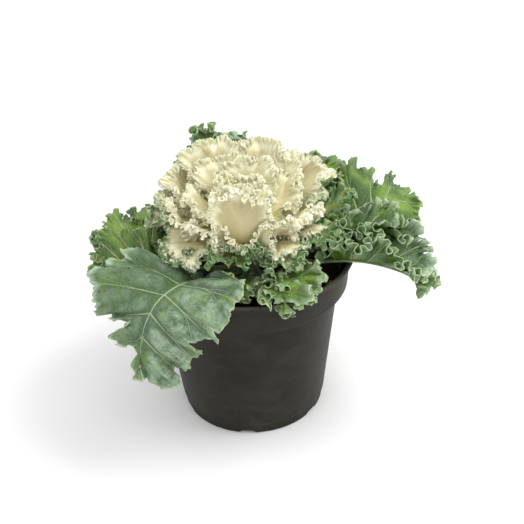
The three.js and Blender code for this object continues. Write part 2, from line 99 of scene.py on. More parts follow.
VEIN_SLANT = 0.84  # run along the midrib for each unit of reach from it
LAST_VEIN = 0.84  # where the last side vein leaves the midrib, as a share of the blade
OUTLINE_FULLNESS = 0.85  # under 1 gives the blade broad shoulders
STEEPEST_WAVE = 0.95  # most that a wave rises over the distance between two side veins' lines
DEEPEST_CLEFT = 0.88  # share of a vein's line that a cleft may take
ROLL_REACH = 7.0  # how far from the margin a blade begins to roll down
ROLL_IN = 0.6  # how far a rolled margin is drawn in, as a share of how far it is rolled down
VEIN_WANDER = 0.22  # how far a side vein strays by the margin, 1 being the next one
STALK_END = 0.8  # where the stalk's ridge ends under the blade, as a share of the blade
MARGIN_REACH = 6.0  # over this distance the blade thins out
MARGIN_THICKNESS = 0.55  # towards this share of its thickness


@dataclass
class Half:
    """One half of a blade: its slope from the midrib and its bend towards the margin, in degrees
    at the foot, middle and tip."""
    slope: tuple
    curl: tuple


def half(foot, tip, curl):
    return Half((foot, (foot + tip) / 2, tip), (curl, curl, curl))


@dataclass
class Frill:
    """One order of ruffles along a margin: wave length, height, how deep it reaches into the
    blade, how far its folds lean over, 1 being upright, how suddenly it sets in, and how far its
    crests curl back over the blade, as a share of its height."""
    length: float
    height: float
    depth: float
    fold: float
    onset: float = 1.4
    tuck: float = 0.0


@dataclass
class Leaf:
    """A leaf grown from the axis of the plant. `spine` is the midrib, as (out, height) points.
    `tint` is the bloom on a green leaf and the green on a cream one."""
    azimuth: float
    width: float
    spine: tuple
    waves: float  # how many large waves each half has
    wave_height: float
    phase: float
    foot: float = 0.0  # where the blade begins along the midrib
    left: Half = None
    right: Half = None
    lean: float = 0.0  # share by which the left half is wider and the right one narrower
    widest: float = 0.46  # where along its length the blade is widest
    spread: float = 150.0  # angle over which the outline runs from the tip to the foot
    taper: float = 0.15  # how far the outline narrows towards the foot
    lines: int = 12  # side veins' lines on each half, which limit how steep a wave may be
    stalk: float = 0.0
    frills: tuple = ()
    lobe_length: float = 11.0
    lobe_depth: float = 3.0
    tooth_length: float = 7.5
    tooth_depth: float = 1.5
    puff: float = 1.0  # how far the blade bulges between its side veins
    vein_count: float = 5.5
    tint: float = 0.4
    # The lean paints the left half lit and the right half in shade.
    tint_lean: float = 0.0  # share by which the left half has more tint and the right one less
    columns: int = 480
    notches: tuple = ()  # bays of the margin: where, how deep and how wide; below 0 they are lobes
    roll: float = 0.0  # how far the margin rolls down
    slant: float = VEIN_SLANT


# Stalks leave the stem in turn low and high.
LOW = 95.5
HIGH = 101.0
OUTER_FRILLS = (Frill(17.0, 3.0, 9.0, 0.9, 1.6), Frill(8.5, 3.0, 5.0, 1.5, 1.7, 0.4))
GENTLE_FRILLS = (Frill(20.0, 2.4, 8.0, 0.8, 1.6), Frill(9.0, 2.0, 3.6, 1.3, 1.7, 0.3))
CRISP_FRILLS = (Frill(13.0, 2.6, 6.5, 1.0, 1.6), Frill(5.5, 1.8, 2.8, 1.4, 1.7, 0.3))
BROAD_FRILLS = (Frill(19.0, 2.2, 11.0, 0.7), Frill(7.0, 0.7, 4.0, 0.8))


def outer_leaf(azimuth, foot, width, spine, wave_height, phase, **changes):
    usual = dict(left=half(8, 8, 12), right=half(8, 8, 12), stalk=2.6, frills=OUTER_FRILLS)
    return Leaf(azimuth, width, spine, 3, wave_height, phase, foot=foot, **{**usual, **changes})


OUTER_LEAVES = {
    "leaf_front_left": outer_leaf(
        233, 38, 97,
        ((5, LOW), (24, 101), (45, 108), (64, 113.5), (80, 112.5), (91, 104), (97, 90), (100, 72)),
        2.4, 0.4, lean=-0.08, frills=BROAD_FRILLS, tint=1.0, tint_lean=0.15, puff=2.3, slant=1.2,
        right=Half((28, 5, -20), (-4, -8, -8)), left=Half((36, 6, -52), (-6, -42, -40)),
        lobe_length=14, lobe_depth=5.5,
        notches=((0.85, -13, 0.14), (0.5, 8, 0.05), (0.4, 7, 0.06), (0.13, -12, 0.1), (0.0, 5, 0.04),
                 (-0.05, -6, 0.04), (-0.13, 34, 0.055), (-0.23, 5, 0.04), (-0.33, 23, 0.055),
                 (-0.58, 4, 0.1), (-0.74, 3, 0.04), (-0.84, -6, 0.045), (-0.98, 30, 0.1))),
    "leaf_left": outer_leaf(
        174, 42, 66, ((5, HIGH), (35, 106), (58, 111), (78, 113), (94, 108)), 5.5, 1.2,
        right=half(14, 6, 12), left=half(-4, -12, 12), frills=CRISP_FRILLS, tint=0.12,
        notches=((-0.3, 5, 0.08), (-0.6, 3, 0.08))),
    "leaf_left_low": outer_leaf(
        196, 46, 56, ((5, LOW), (35, 101), (62, 109), (80, 109), (91, 101)), 3.8, 3.4,
        right=half(24, 24, 12), left=half(8, 8, 12), frills=CRISP_FRILLS, tint=0.12),
    "leaf_left_back": outer_leaf(
        143, 42, 64, ((5, LOW), (35, 102), (58, 109.5), (76, 105), (89, 94)), 5, 2.6,
        frills=CRISP_FRILLS, tint=0.12),
    "leaf_back_left": outer_leaf(
        111, 34, 48, ((5, HIGH), (28, 109), (47, 124), (60, 147), (64, 165)), 4.5, 2.2, tint=0.7,
        notches=((0.3, 9, 0.07), (-0.2, 8, 0.12))),
    "leaf_back": outer_leaf(
        92, 40, 52, ((5, LOW), (30, 102), (50, 115), (62, 134), (66, 152)), 4.4, 3.2, tint=0.7),
    "leaf_back_right": outer_leaf(
        58, 44, 68, ((5, HIGH), (30, 105), (60, 114), (82, 122), (96, 126)), 5.5, 0.4, tint=0.35),
    "leaf_right_back": outer_leaf(
        18, 46, 80, ((5, LOW), (35, 103), (62, 113.5), (88, 122.5), (112, 120)), 4.5, 4.2,
        right=half(8, -16, 12), frills=GENTLE_FRILLS, tint=0.15,
        notches=((0.47, -3, 0.05), (0.3, 14, 0.06), (0.18, 3, 0.04), (-0.1, 5, 0.08))),
    "leaf_right_upper": outer_leaf(
        -3, 34, 56, ((5, LOW), (30, 103), (55, 113), (78, 117), (98, 113)), 5.5, 2.0, tint=0.7,
        right=half(30, 24, 12), left=half(2, 8, 12)),
    "leaf_right": outer_leaf(
        -21, 46, 62, ((5, HIGH), (40, 105), (65, 109.5), (78, 109.5), (92, 107), (102, 103), (109, 97)),
        5.5, 5.2, lean=0.1, right=half(50, 40, 30), left=Half((4, 18, 26), (12, 12, 12)), tint=0.8),
    "leaf_front_right": outer_leaf(
        -60, 28, 34, ((5, LOW), (28, 102), (45, 110), (58, 112), (69, 106)), 3.8, 0.9,
        frills=CRISP_FRILLS, tint=0.5),
    "leaf_front": outer_leaf(
        -73, 34, 30, ((5, HIGH), (33, 104), (54, 110.5), (68, 110.5), (75, 103)), 4, 1.9,
        frills=GENTLE_FRILLS, tint=0.45,
        notches=((0.62, 5, 0.14), (0.4, -4, 0.08), (0.19, 12, 0.06), (-0.25, 10, 0.06), (-0.62, 5, 0.14))),
    "leaf_front_small": outer_leaf(
        -95, 23, 25, ((5, LOW), (26, 100.5), (40, 106.5), (50, 109), (58, 106)), 2.6, 4.0,
        frills=GENTLE_FRILLS, tint=0.4),
}

# Rows of the two tables below: azimuth, width, tint, roll of the margin, and the spine's points.
FRINGED_LEAVES = (
    (214, 40, 1.2, 0, (2, 107), (20, 113), (40, 119), (56, 117)),
    (260, 42, 3, 0, (2, 107), (18, 113), (37, 122), (50, 124)),
    (298, 36, 2, 0, (2, 107), (18, 113), (38, 119), (54, 118)),
    (334, 38, 3, 0, (2, 107), (20, 114), (42, 122), (60, 126)),
    (10, 40, 3.5, 0, (2, 107), (22, 113), (48, 124), (66, 136)),
    (50, 42, 2, 0, (2, 107), (20, 114), (42, 125), (58, 143)),
    (95, 42, 1.2, 0, (2, 107), (18, 114), (40, 124), (54, 140)),
    (136, 42, 1.2, 0, (2, 107), (20, 113), (42, 121), (58, 132)),
    (175, 40, 1.2, 0, (2, 107), (20, 113), (42, 121), (59, 129)),
)
HEART_LEAVES = (
    (183, 52, 0.7, 0, (2, 113), (20, 120), (38, 131), (51, 143)),
    (220, 52, 0.6, 4, (2, 112), (20, 118), (40, 125), (56, 123)),
    (262, 50, 1, 4, (2, 112), (18, 118), (34, 128), (45, 138)),
    (302, 44, 0.9, 5, (2, 112), (18, 118), (36, 126), (50, 129)),
    (336, 46, 1, 4, (2, 113), (20, 119), (38, 126), (51, 130)),
    (8, 50, 0.8, 4, (2, 113), (20, 121), (36, 134), (45, 146)),
    (35, 62, 0.35, 4, (2, 113), (20, 122), (38, 139), (52, 156)),
    (72, 46, 0.25, 0, (2, 113), (20, 122), (34, 141), (44, 160)),
    (118, 60, 0.2, 0, (2, 113), (20, 122), (34, 142), (44, 163)),
    (154, 58, 0.06, 0, (2, 114), (20, 121), (37, 136), (48, 152)),
    (238, 50, 0.06, 6, (2, 116), (18, 121), (34, 132), (42, 147)),
    (268, 49, 0.06, 8, (2, 116), (20, 120), (36, 132), (38, 144), (30, 156), (27, 163)),
    (294, 44, 0.06, 6, (2, 116), (18, 121), (34, 131), (40, 142), (40, 149)),
    (322, 56, 0.06, 7, (2, 116), (18, 122), (33, 133), (40, 147)),
    (196, 46, 0.06, 0, (2, 116), (18, 121), (35, 131), (46, 143)),
    (118, 50, 0.2, 0, (2, 117), (14, 128), (28, 143), (37, 154)),
    (80, 52, 0.06, 0, (2, 117), (9, 130), (17, 146), (23, 156)),
    (14, 54, 0.06, 3, (1, 119), (12, 128), (25, 138), (35, 147)),
    (192, 48, 0.06, 3, (1, 120), (12, 128), (25, 138), (34, 148)),
    (310, 30, 0.06, 0, (1, 120), (5, 131), (10, 142), (14, 150)),
    (90, 28, 0.06, 0, (1, 120), (4, 132), (8, 143), (12, 150)),
    (46, 50, 0.06, 0, (2, 117), (16, 127), (30, 140), (40, 151)),
    (250, 38, 0.06, 0, (2, 118), (9, 129), (16, 142), (18, 156)),
    (288, 36, 0.06, 0, (2, 118), (10, 129), (19, 141), (22, 154)),
    (150, 34, 0.06, 0, (1, 120), (7, 131), (13, 143), (17, 153)),
    (30, 32, 0.06, 0, (1, 121), (5, 132), (9, 143), (12, 151)),
    (228, 30, 0.06, 0, (1, 121), (4, 132), (7, 143), (9, 152)),
    (335, 28, 0.06, 0, (1, 121), (3, 132), (5, 142), (7, 149)),
    (105, 26, 0.06, 0, (0.5, 121), (1.5, 132), (2.5, 142), (3, 148)),
)
HEART_PIECES = {
    "heart_lower_leaves": range(0, 8),
    "heart_middle_leaves": range(8, 15),
    "heart_upper_leaves": range(15, 22),
    "heart_inner_leaves": range(22, 29),
}
FRINGED_FRILLS = (
    Frill(14.0, 2.4, 8.0, 1.0), Frill(4.8, 2.0, 3.8, 1.9, 1.8, 0.5), Frill(7.0, 0.8, 1.8, 1.2, 1.6))
HEART_FRILLS = (
    Frill(19.0, 1.5, 8.5, 0.8, 1.6), Frill(4.3, 1.8, 3.5, 1.9, 2.6, 0.5), Frill(4.2, 0.7, 1.8, 1.2, 1.6))
DEEP_FRILLS = (
    Frill(19.0, 1.5, 8.5, 0.8, 1.6), Frill(4.6, 2.0, 5.6, 1.8, 3.2, 0.5), Frill(4.4, 0.8, 2.2, 1.2, 1.8))
DEEPLY_FRILLED = (8, 35, 154, 183)  # azimuths of the heart's leaves with such frills
CUPPED = (268, 322)  # and of those whose halves lie level at the midrib and cup at the margin
BROAD_WIDTH = 40  # a heart leaf wider than this gets more columns
OUTER_SEED, FRINGED_SEED, HEART_SEED = 100, 200, 300  # the first leaf's random draws start from these
HUB = (11.0, 104.5, 110.6)  # radius, bottom, top
CORE = ((0, 111.2), (9, 111.2), (16, 120), (15, 129), (7, 135), (0, 136))

# Rings of a blade from the midrib to the margin: place, and how many columns each one skips.
OUTER_RINGS = (
    (0.0, 4), (0.09, 4), (0.19, 4), (0.3, 4), (0.41, 2), (0.52, 2), (0.62, 2),
    (0.71, 1), (0.78, 1), (0.84, 1), (0.89, 1), (0.93, 1), (0.967, 1), (1.0, 1))
FRILLED_RINGS = (
    (0.0, 8), (0.2, 8), (0.38, 4), (0.54, 4), (0.67, 2), (0.77, 2),
    (0.84, 1), (0.89, 1), (0.93, 1), (0.967, 1), (1.0, 1))

# What a leaf's finish reads at each point: number, place and spacing of the side veins; place on
# the flat blade and distance from the margin; upper side, tint and share of the length; the height
# of the folds over the smooth blade, as seen from the point's own side.
LAYERS = ("leaf_veins", "leaf_flat", "leaf_tone", "leaf_fold")
ALL_VEIN = (0.0, 0.1, 1.0)  # reads as the middle of a vein
INSIDE = 30.0  # a distance that reads as far from any margin


# -------------------------------------------------------------------------------------------------
# Small numeric helpers
# -------------------------------------------------------------------------------------------------

def mix(a, b, t):
    return a + (b - a) * t


def ease(t):
    t = np.clip(t, 0, 1)
    return t * t * (3 - 2 * t)


def unit(vectors):
    return vectors / np.maximum(np.linalg.norm(vectors, axis=-1, keepdims=True), 1e-12)


def wander(place, cell, rng):
    """Smooth random values between -1 and 1 along `place`, with one bend in about each `cell`."""
    first = math.floor(np.min(place) / cell) - 1
    knots = rng.uniform(-1, 1, int((np.max(place) - np.min(place)) / cell) + 5)
    position = place / cell - first
    index = np.floor(position).astype(int)
    return mix(knots[index], knots[index + 1], ease(position - index))


def lumps(points, cell, rng):
    """Smooth random values between -1 and 1 in space, with lumps of about `cell`."""
    lattice = rng.uniform(-1, 1, (16, 16, 16))
    index = np.floor(points / cell).astype(int)
    share = ease(points / cell - index)
    total = np.zeros(points.shape[:-1])
    for corner in np.ndindex(2, 2, 2):
        weight = np.prod(np.where(corner, share, 1 - share), axis=-1)
        place = (index + corner) % 16
        total += weight * lattice[place[..., 0], place[..., 1], place[..., 2]]
    return total


def path_length(points):
    """Distance from the first of a row of points to each of them."""
    steps = np.linalg.norm(np.diff(points, axis=0), axis=-1)
    return np.concatenate(([0.0], np.cumsum(steps)))


# -------------------------------------------------------------------------------------------------
# Leaf shape
# -------------------------------------------------------------------------------------------------

class Midrib:
    """The midrib as a smooth curve through the leaf's spine, in the leaf's own upright plane."""

    def __init__(self, spine):
        knots = np.array(spine, float)
        knots = np.vstack((2 * knots[0] - knots[1], knots, 2 * knots[-1] - knots[-2]))
        t = np.linspace(0, 1, 40)[:, None]
        stretches = []
        for a, b, c, d in zip(knots, knots[1:], knots[2:], knots[3:]):
            before, span, after = (math.dist(p, q) ** 0.5 for p, q in ((a, b), (b, c), (c, d)))
            start = ((b - a) / before - (c - a) / (before + span) + (c - b) / span) * span
            end = ((c - b) / span - (d - b) / (span + after) + (d - c) / after) * span
            cubic = 2 * b - 2 * c + start + end
            square = -3 * b + 3 * c - 2 * start - end
            stretches.append(b + start * t + square * t ** 2 + cubic * t ** 3)
        self.points = np.vstack([stretches[0]] + [stretch[1:] for stretch in stretches[1:]])
        self.arc = path_length(self.points)
        self.total = self.arc[-1]
        self.along = unit(np.gradient(self.points, self.arc, axis=0))

    def beside(self, s, aside, rise):
        """Points at arc length s, `aside` of the midrib and `rise` over it, in the leaf's own
        frame: out along its azimuth, aside, up."""
        inside = np.clip(s, 0, self.total)
        place, along = (
            np.stack([np.interp(inside, self.arc, values[:, k]) for k in range(2)], -1)
            for values in (self.points, self.along))
        along = unit(along)
        place = place + along * (s - inside)[..., None]
        out = place[..., 0] - along[..., 1] * rise
        up = place[..., 1] + along[..., 0] * rise
        return np.stack((out, aside, up), -1)


def blade_point(leaf, midrib, s, v):
    """Point of the unruffled blade at arc length s and signed distance v from the midrib."""
    t = np.clip((s - leaf.foot) / (midrib.total - leaf.foot), 0, 1)
    slope, curl = (
        np.where(v < 0, np.interp(t, (0, 0.5, 1), right), np.interp(t, (0, 0.5, 1), left)) * DEG
        for right, left in ((leaf.right.slope, leaf.left.slope), (leaf.right.curl, leaf.left.curl)))
    bend = curl * np.abs(v) / (leaf.width / 2)
    chord = np.abs(v) * np.sinc(bend / 2 / math.pi)
    aside = np.sign(v) * chord * np.cos(slope + bend / 2)
    return midrib.beside(s, aside, chord * np.sin(slope + bend / 2))


def blade_outline(leaf, length, around):
    """The flat blade's line from the midrib to the margin: where it starts on the midrib, where it
    ends along the midrib, and how far from it. `around` is 0 at the tip and 1 at the foot."""
    turn = leaf.spread * DEG * around
    ahead = np.where(np.cos(turn) > 0, 1 - leaf.widest, leaf.widest)
    s = length * (leaf.widest + ahead * np.cos(turn))
    narrowing = 1 - leaf.taper * (1 - np.cos(turn)) / 2
    v = leaf.width / 2 * np.clip(np.sin(turn), 0, 1) ** OUTLINE_FULLNESS * narrowing
    up = 1 - around
    start = np.maximum(LAST_VEIN * length * up, mix(1, LAST_VEIN, up) * (s - leaf.slant * v))
    return leaf.foot + start, leaf.foot + s, v


def coarse_wave(leaf, around, out):
    """The blade's large waves: how far they lift it and how far they stretch its reach."""
    place = around + 0.035 * np.sin(5.1 * around + leaf.phase)
    size = 1 + 0.3 * np.sin(7.3 * around + 2 * leaf.phase)
    turn = 2 * math.pi * leaf.waves * place + leaf.phase
    lift = leaf.wave_height * size * out ** 1.7 * np.sin(turn)
    reach = 1 + 0.07 * (np.cos(0.5 * turn + leaf.phase) - 0.7 * np.cos(2 * turn))
    return lift, reach


def surface_frame(points):
    """Unit directions of a grid of points: its upper normal, along its margin, out to its margin."""
    along = np.gradient(points, axis=0)
    outward = np.gradient(points, axis=1)
    normal = np.cross(outward, along)
    normal[:, 0] = unit(normal[:, 1]) + unit(normal[::-1, 1])
    return unit(normal), unit(along), unit(outward)


def ruffled(points, gap, frill, rng):
    """The grid with one more order of ruffles along its margin."""
    normal, along, outward = surface_frame(points)
    arc = path_length(points[:, -1])
    pace = 1 + 0.45 * wander(arc, 2.5 * frill.length, rng)
    turn = 2 * math.pi * np.cumsum(np.gradient(arc) / pace)[:, None] / frill.length
    height = frill.height * (1 + 0.55 * wander(arc, 1.6 * frill.length, rng))[:, None]
    fading = np.exp(-(gap / frill.depth) ** frill.onset)
    lift = height * np.sin(turn) * fading
    slip = -frill.fold * frill.length / 4 / math.pi * np.sin(2 * turn) * fading
    back = -frill.tuck * height * np.sin(turn) ** 2 * fading ** 2
    return points + normal * lift[..., None] + along * slip[..., None] + outward * back[..., None]


def even_rows(leaf, length):
    """Places round the margin, -1 at one foot, 0 at the tip and 1 at the other, evenly spaced
    along the margin and alike on both halves."""
    around = np.linspace(0, 1, 400)
    _, s, v = blade_outline(leaf, length, around)
    arc = path_length(np.stack((s, v), -1))
    half_rows = np.interp(np.linspace(0, arc[-1], leaf.columns // 2 + 1), arc, around)
    return np.concatenate((-half_rows[:0:-1], half_rows))


def clefts(leaf, around, arc, line, rng):
    """Share of each line taken off by rounded lobes with sharp clefts between them, and by bays."""
    pace = 1 + 0.4 * wander(arc, 2.5 * leaf.lobe_length, rng)
    turn = math.pi * np.cumsum(np.gradient(arc) / pace) / leaf.lobe_length
    size = 1 + 0.6 * wander(arc, 1.5 * leaf.lobe_length, rng)
    depth = leaf.lobe_depth * size * (1 - np.abs(np.sin(turn)) ** 0.8)
    for place, bay, wide in leaf.notches:
        depth = depth + bay * np.exp(-((around - place) / wide) ** 2)
    return np.minimum(depth, DEEPEST_CLEFT * line) / line


def toothed(leaf, points, rng):
    """The grid with fine teeth drawn out of its margin."""
    edge = path_length(points[:, -1])
    tooth = leaf.tooth_depth * (0.6 + 0.4 * wander(edge, 4, rng))
    turn = math.pi * edge / leaf.tooth_length + 2 * wander(edge, 9, rng)
    tooth = tooth * (np.abs(np.sin(turn)) - 0.5)
    outward = surface_frame(points)[2]
    for ring, share in ((-1, 1.0), (-2, 0.35)):
        points[:, ring] += outward[:, ring] * share * tooth[:, None]
    return points


def blade_grid(leaf, rings, rng):
    """The ruffled middle surface of a blade: its points, its values of the veins, flat and fold
    layers, and its midrib. The order of the random draws decides its shape."""
    midrib = Midrib(leaf.spine)
    length = midrib.total - leaf.foot
    around = even_rows(leaf, length)
    outs = np.array([out for out, _ in rings])
    start, s_end, v_end = blade_outline(leaf, length, np.abs(around))
    line = np.hypot(s_end - start, v_end)
    v_end = v_end * (np.sign(around) + leaf.lean * np.abs(np.sign(around)))
    arc = path_length(np.stack((s_end, v_end), -1))
    cleft = clefts(leaf, around, arc, line, rng)
    line = line[:, None]
    lift, stretch = coarse_wave(leaf, around[:, None], outs)
    reach = outs * (stretch - cleft[:, None])
    s = mix(start[:, None], s_end[:, None], reach)
    v = v_end[:, None] * reach
    flat = blade_point(leaf, midrib, s, v)
    normal, _, outward = surface_frame(flat)

    most = STEEPEST_WAVE * np.linalg.norm(np.gradient(flat, around, axis=0), axis=-1) / leaf.lines + 1e-6
    veins = np.abs(around)[:, None] * leaf.vein_count + VEIN_WANDER * outs * wander(arc, 9, rng)[:, None]
    nearest = np.abs(veins - np.round(veins))
    puff = leaf.puff * (ease(nearest * 2 / 0.7) - 0.6) * np.sin(math.pi * np.clip(outs, 0, 0.97)) ** 0.7
    uneven = 0.8 * lumps(flat, 13, rng) + 0.5 * lumps(flat + 50, 6, rng)
    rise = most * np.tanh(lift / most) + puff + uneven * np.clip(line * outs / 8, 0, 1)
    gap = line * (1 - outs)
    rolled = np.exp(-(gap / ROLL_REACH) ** 1.5)[..., None]
    smooth = flat + normal * (rise[..., None] - leaf.roll * rolled)
    smooth = smooth - outward * (ROLL_IN * leaf.roll * rolled ** 2)

    points = smooth
    for frill in leaf.frills:
        points = ruffled(points, gap, frill, rng)
    fold = np.sum((points - smooth) * surface_frame(smooth)[0], axis=-1)
    points = toothed(leaf, points, rng)
    width = np.linalg.norm(np.gradient(flat, axis=0), axis=-1)
    spacing = np.clip(width / np.maximum(np.abs(np.gradient(veins, axis=0)), 1e-4), 1, 60)
    layers = [
        np.stack((veins, np.broadcast_to(outs, veins.shape), spacing), -1),
        np.stack((s, v, gap), -1),
        np.stack((fold, fold, fold), -1),
    ]
    for values in (points, *layers):
        values[:, 0] = (values[:, 0] + values[::-1, 0]) / 2
    return points, *layers, midrib


# -------------------------------------------------------------------------------------------------
# Closed surfaces
# -------------------------------------------------------------------------------------------------

class Shell:
    """Collects closed surfaces, with what their finish needs, for one mesh."""

    def __init__(self):
        self.points = []
        self.faces = []
        self.values = {layer: [] for layer in LAYERS}
        self.count = 0

    def add_points(self, points, *values):
        """Takes points with their values for the layers, and gives the points' numbers."""
        self.points.append(points)
        self.count += len(points)
        for layer, value in zip(LAYERS, values):
            self.values[layer].append(np.broadcast_to(value, points.shape))
        return np.arange(self.count - len(points), self.count)

    def make_mesh(self, name, layers=LAYERS):
        mesh = bpy.data.meshes.new(name)
        faces = [face for group in self.faces for face in group.tolist()]
        mesh.from_pydata(np.vstack(self.points) * MM, [], faces)
        for layer in layers:
            attribute = mesh.attributes.new(layer, "FLOAT_VECTOR", "POINT")
            attribute.data.foreach_set("vector", np.vstack(self.values[layer]).astype(np.float32).ravel())
        mesh.shade_smooth()
        return mesh


def wrapped(grid):
    """The grid with its first column again after its last, which closes it round."""
    return np.hstack((grid, grid[:, :1]))


def quads(numbers):
    """Faces of a grid of point numbers."""
    corners = (numbers[:-1, :-1], numbers[:-1, 1:], numbers[1:, 1:], numbers[1:, :-1])
    return np.stack(corners, -1).reshape(-1, 4)


def band(inner, outer):
    """Faces between two rows of point numbers."""
    return quads(np.stack((inner, outer), -1))


def stitch(inner, outer):
    """Faces between two rows of point numbers, of which the outer may be twice as fine."""
    if len(inner) == len(outer):
        return [band(inner, outer)]
    middle = outer[1::2]
    return [
        np.stack((inner[:-1], outer[:-1:2], middle), -1),
        np.stack((inner[:-1], middle, inner[1:]), -1),
        np.stack((inner[1:], middle, outer[2::2]), -1),
    ]


def turned(points, azimuth):
    """Points turned about the plant's axis."""
    cos, sin = math.cos(azimuth * DEG), math.sin(azimuth * DEG)
    x = points[..., 0] * cos - points[..., 1] * sin
    y = points[..., 0] * sin + points[..., 1] * cos
    return np.stack((x, y, points[..., 2]), -1)


def add_blade(shell, leaf, rings, thickness, rng):
    """The blade as a closed sheet, thinner towards its margin. Both halves share the midrib."""
    points, veins, flat, fold, midrib = blade_grid(leaf, rings, rng)
    normal = surface_frame(points)[0]
    normal[:, 0] = unit(normal[:, 0] + normal[::-1, 0])
    offset = thickness / 2 * mix(MARGIN_THICKNESS, 1.0, ease(flat[..., 2] / MARGIN_REACH))
    # Painted light and shade: the lean gives the left half more tint, so lighter bloom, and the right half
    # less, so darker bloom.
    tint = leaf.tint * (1 + leaf.tint_lean * np.tanh(flat[..., 1] / 4))
    share = np.clip(flat[..., 0] / midrib.total, 0, 1)
    sheets = []
    for face in (1, -1):
        sheet = turned(points + face * normal * offset[..., None], leaf.azimuth)
        tone = np.stack((np.full(share.shape, max(face, 0)), tint, share), -1)
        rows = []
        for level, (_, stride) in enumerate(rings):
            picked = (np.arange(0 if level else len(points) // 2, len(points), stride), level)
            numbers = shell.add_points(
                sheet[picked], veins[picked], flat[picked], tone[picked], face * fold[picked])
            rows.append(numbers if level else np.concatenate((numbers[:0:-1], numbers)))
        for inner, outer in zip(rows, rows[1:]):
            shell.faces += [group[:, ::face] for group in stitch(inner, outer)]
        sheets.append(rows)
    shell.faces.append(band(sheets[0][-1], sheets[1][-1]))
    for end, order in ((0, 1), (-1, -1)):
        edges = [np.array([row[end] for row in rows]) for rows in sheets]
        shell.faces.append(band(*edges)[:, ::order])
    return midrib


def add_stalk(shell, leaf, midrib, sides=14, steps=36):
    """Leaf stalk that runs on as the midrib under the blade, round below and flatter above."""
    end = mix(leaf.foot, midrib.total, STALK_END)
    s = np.linspace(0, end, steps)[:, None]
    angle = np.linspace(0, 2 * math.pi, sides, endpoint=False)
    radius = leaf.stalk * (1 - 0.8 * (s / end) ** 0.8)
    rise = radius * (np.sin(angle) * np.where(np.sin(angle) > 0, 0.55, 1.0) - 0.35)
    points = turned(midrib.beside(s, 1.15 * radius * np.cos(angle), rise), leaf.azimuth)
    zero = np.zeros(rise.shape)
    flat = np.stack((s + zero, zero, INSIDE + zero), -1)
    tone = np.stack((zero, leaf.tint + zero, s / midrib.total + zero), -1)
    points, flat, tone = (values.reshape(-1, 3) for values in (points, flat, tone))
    numbers = wrapped(shell.add_points(points, ALL_VEIN, flat, tone, 0.0).reshape(steps, sides))
    shell.faces += [quads(numbers), numbers[:1, -2::-1], numbers[-1:, :-1]]


def circles(profile, sides):
    """Rings of points about the plant's axis, one for each (radius, height) of the profile."""
    angle = np.linspace(0, 2 * math.pi, sides, endpoint=False)
    radius, height = np.array(profile).T[..., None]
    return np.stack((radius * np.cos(angle), radius * np.sin(angle), height + np.zeros(sides)), -1)


def add_rings(shell, rings, low, high):
    """A closed solid from rings about the plant's axis, which it meets at two heights."""
    count, sides = rings.shape[:2]
    points = np.vstack((rings.reshape(-1, 3), ((0, 0, low), (0, 0, high))))
    *walls, bottom, top = shell.add_points(points, ALL_VEIN, (0.0, 0.0, INSIDE), (0.0, 0.0, 0.2), 0.0)
    numbers = wrapped(np.reshape(walls, (count, sides)))
    shell.faces.append(quads(numbers))
    for ring, end in ((numbers[0, ::-1], bottom), (numbers[-1], top)):
        shell.faces.append(np.stack((ring[:-1], ring[1:], np.full(sides, end)), -1))


def add_lathe(shell, profile, sides):
    """A closed turned solid, with a profile from the plant's axis to the axis."""
    add_rings(shell, circles(profile[1:-1], sides), profile[0][1], profile[-1][1])


# -------------------------------------------------------------------------------------------------
# Objects and Geometry Nodes: what every operator uses
# -------------------------------------------------------------------------------------------------

def new_object(name, data):
    """An object in the scene that holds the data."""
    thing = bpy.data.objects.new(name, data)
    bpy.context.scene.collection.objects.link(thing)
    return thing


def place_piece(mesh, name, nodes, material):
    """The finished piece: it rides on the one body, stands for its nodes and has its finish."""
    mesh.name = name
    mesh.materials.clear()
    mesh.materials.append(material)
    piece = new_object(name, mesh)
    if not mesh.polygons:
        raise RuntimeError(f"{name} came out empty")
    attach(piece, "root")
    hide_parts(*nodes)


def applied(mesh, modify):
    """The mesh after `modify` has put modifiers on an object that holds it."""
    holder = new_object("holder", mesh)
    modify(holder)
    graph = bpy.context.evaluated_depsgraph_get()
    result = bpy.data.meshes.new_from_object(holder.evaluated_get(graph))
    bpy.data.objects.remove(holder)
    return result


def grown(mesh, tree, values):
    """The mesh after a Geometry Nodes tree, with inputs set by their socket identifiers."""
    sockets = {item.name: item.identifier for item in tree.interface.items_tree if item.in_out == "INPUT"}

    def modify(holder):
        modifier = holder.modifiers.new("nodes", "NODES")
        modifier.node_group = tree
        for name, value in values.items():
            modifier[sockets[name]] = value

    return applied(mesh, modify)


# -------------------------------------------------------------------------------------------------
# Nodes
# -------------------------------------------------------------------------------------------------

class Signal:
    """An output of a node. Sums, products and the like of signals add the Math nodes for them."""

    def __init__(self, tree, socket):
        self.tree = tree
        self.socket = socket

    def __add__(self, other):
        return calc("ADD", self, other)

    def __sub__(self, other):
        return calc("SUBTRACT", self, other)

    def __rsub__(self, other):
        return calc("SUBTRACT", other, self)

    def __mul__(self, other):
        return calc("MULTIPLY", self, other)

    def __truediv__(self, other):
        return calc("DIVIDE", self, other)

    def __rtruediv__(self, other):
        return calc("DIVIDE", other, self)

    def __abs__(self):
        return calc("ABSOLUTE", self)


def feed(node, inputs):
    """Gives each of a node's inputs its value, or links a signal to it."""
    for socket, value in inputs.items():
        if isinstance(value, Signal):
            value.tree.links.new(value.socket, node.inputs[socket])
        else:
            node.inputs[socket].default_value = value


def put(tree, kind, inputs=None, **settings):
    """Adds a node."""
    node = tree.nodes.new(kind)
    for name, value in settings.items():
        setattr(node, name, value)
    feed(node, inputs or {})
    return node


def signal(tree, kind, inputs=None, output=0, **settings):
    """Adds a node and gives one of its outputs."""
    return Signal(tree, put(tree, kind, inputs, **settings).outputs[output])


def tree_of(values):
    """The tree of the first signal among the values."""
    return next(value.tree for value in values if isinstance(value, Signal))


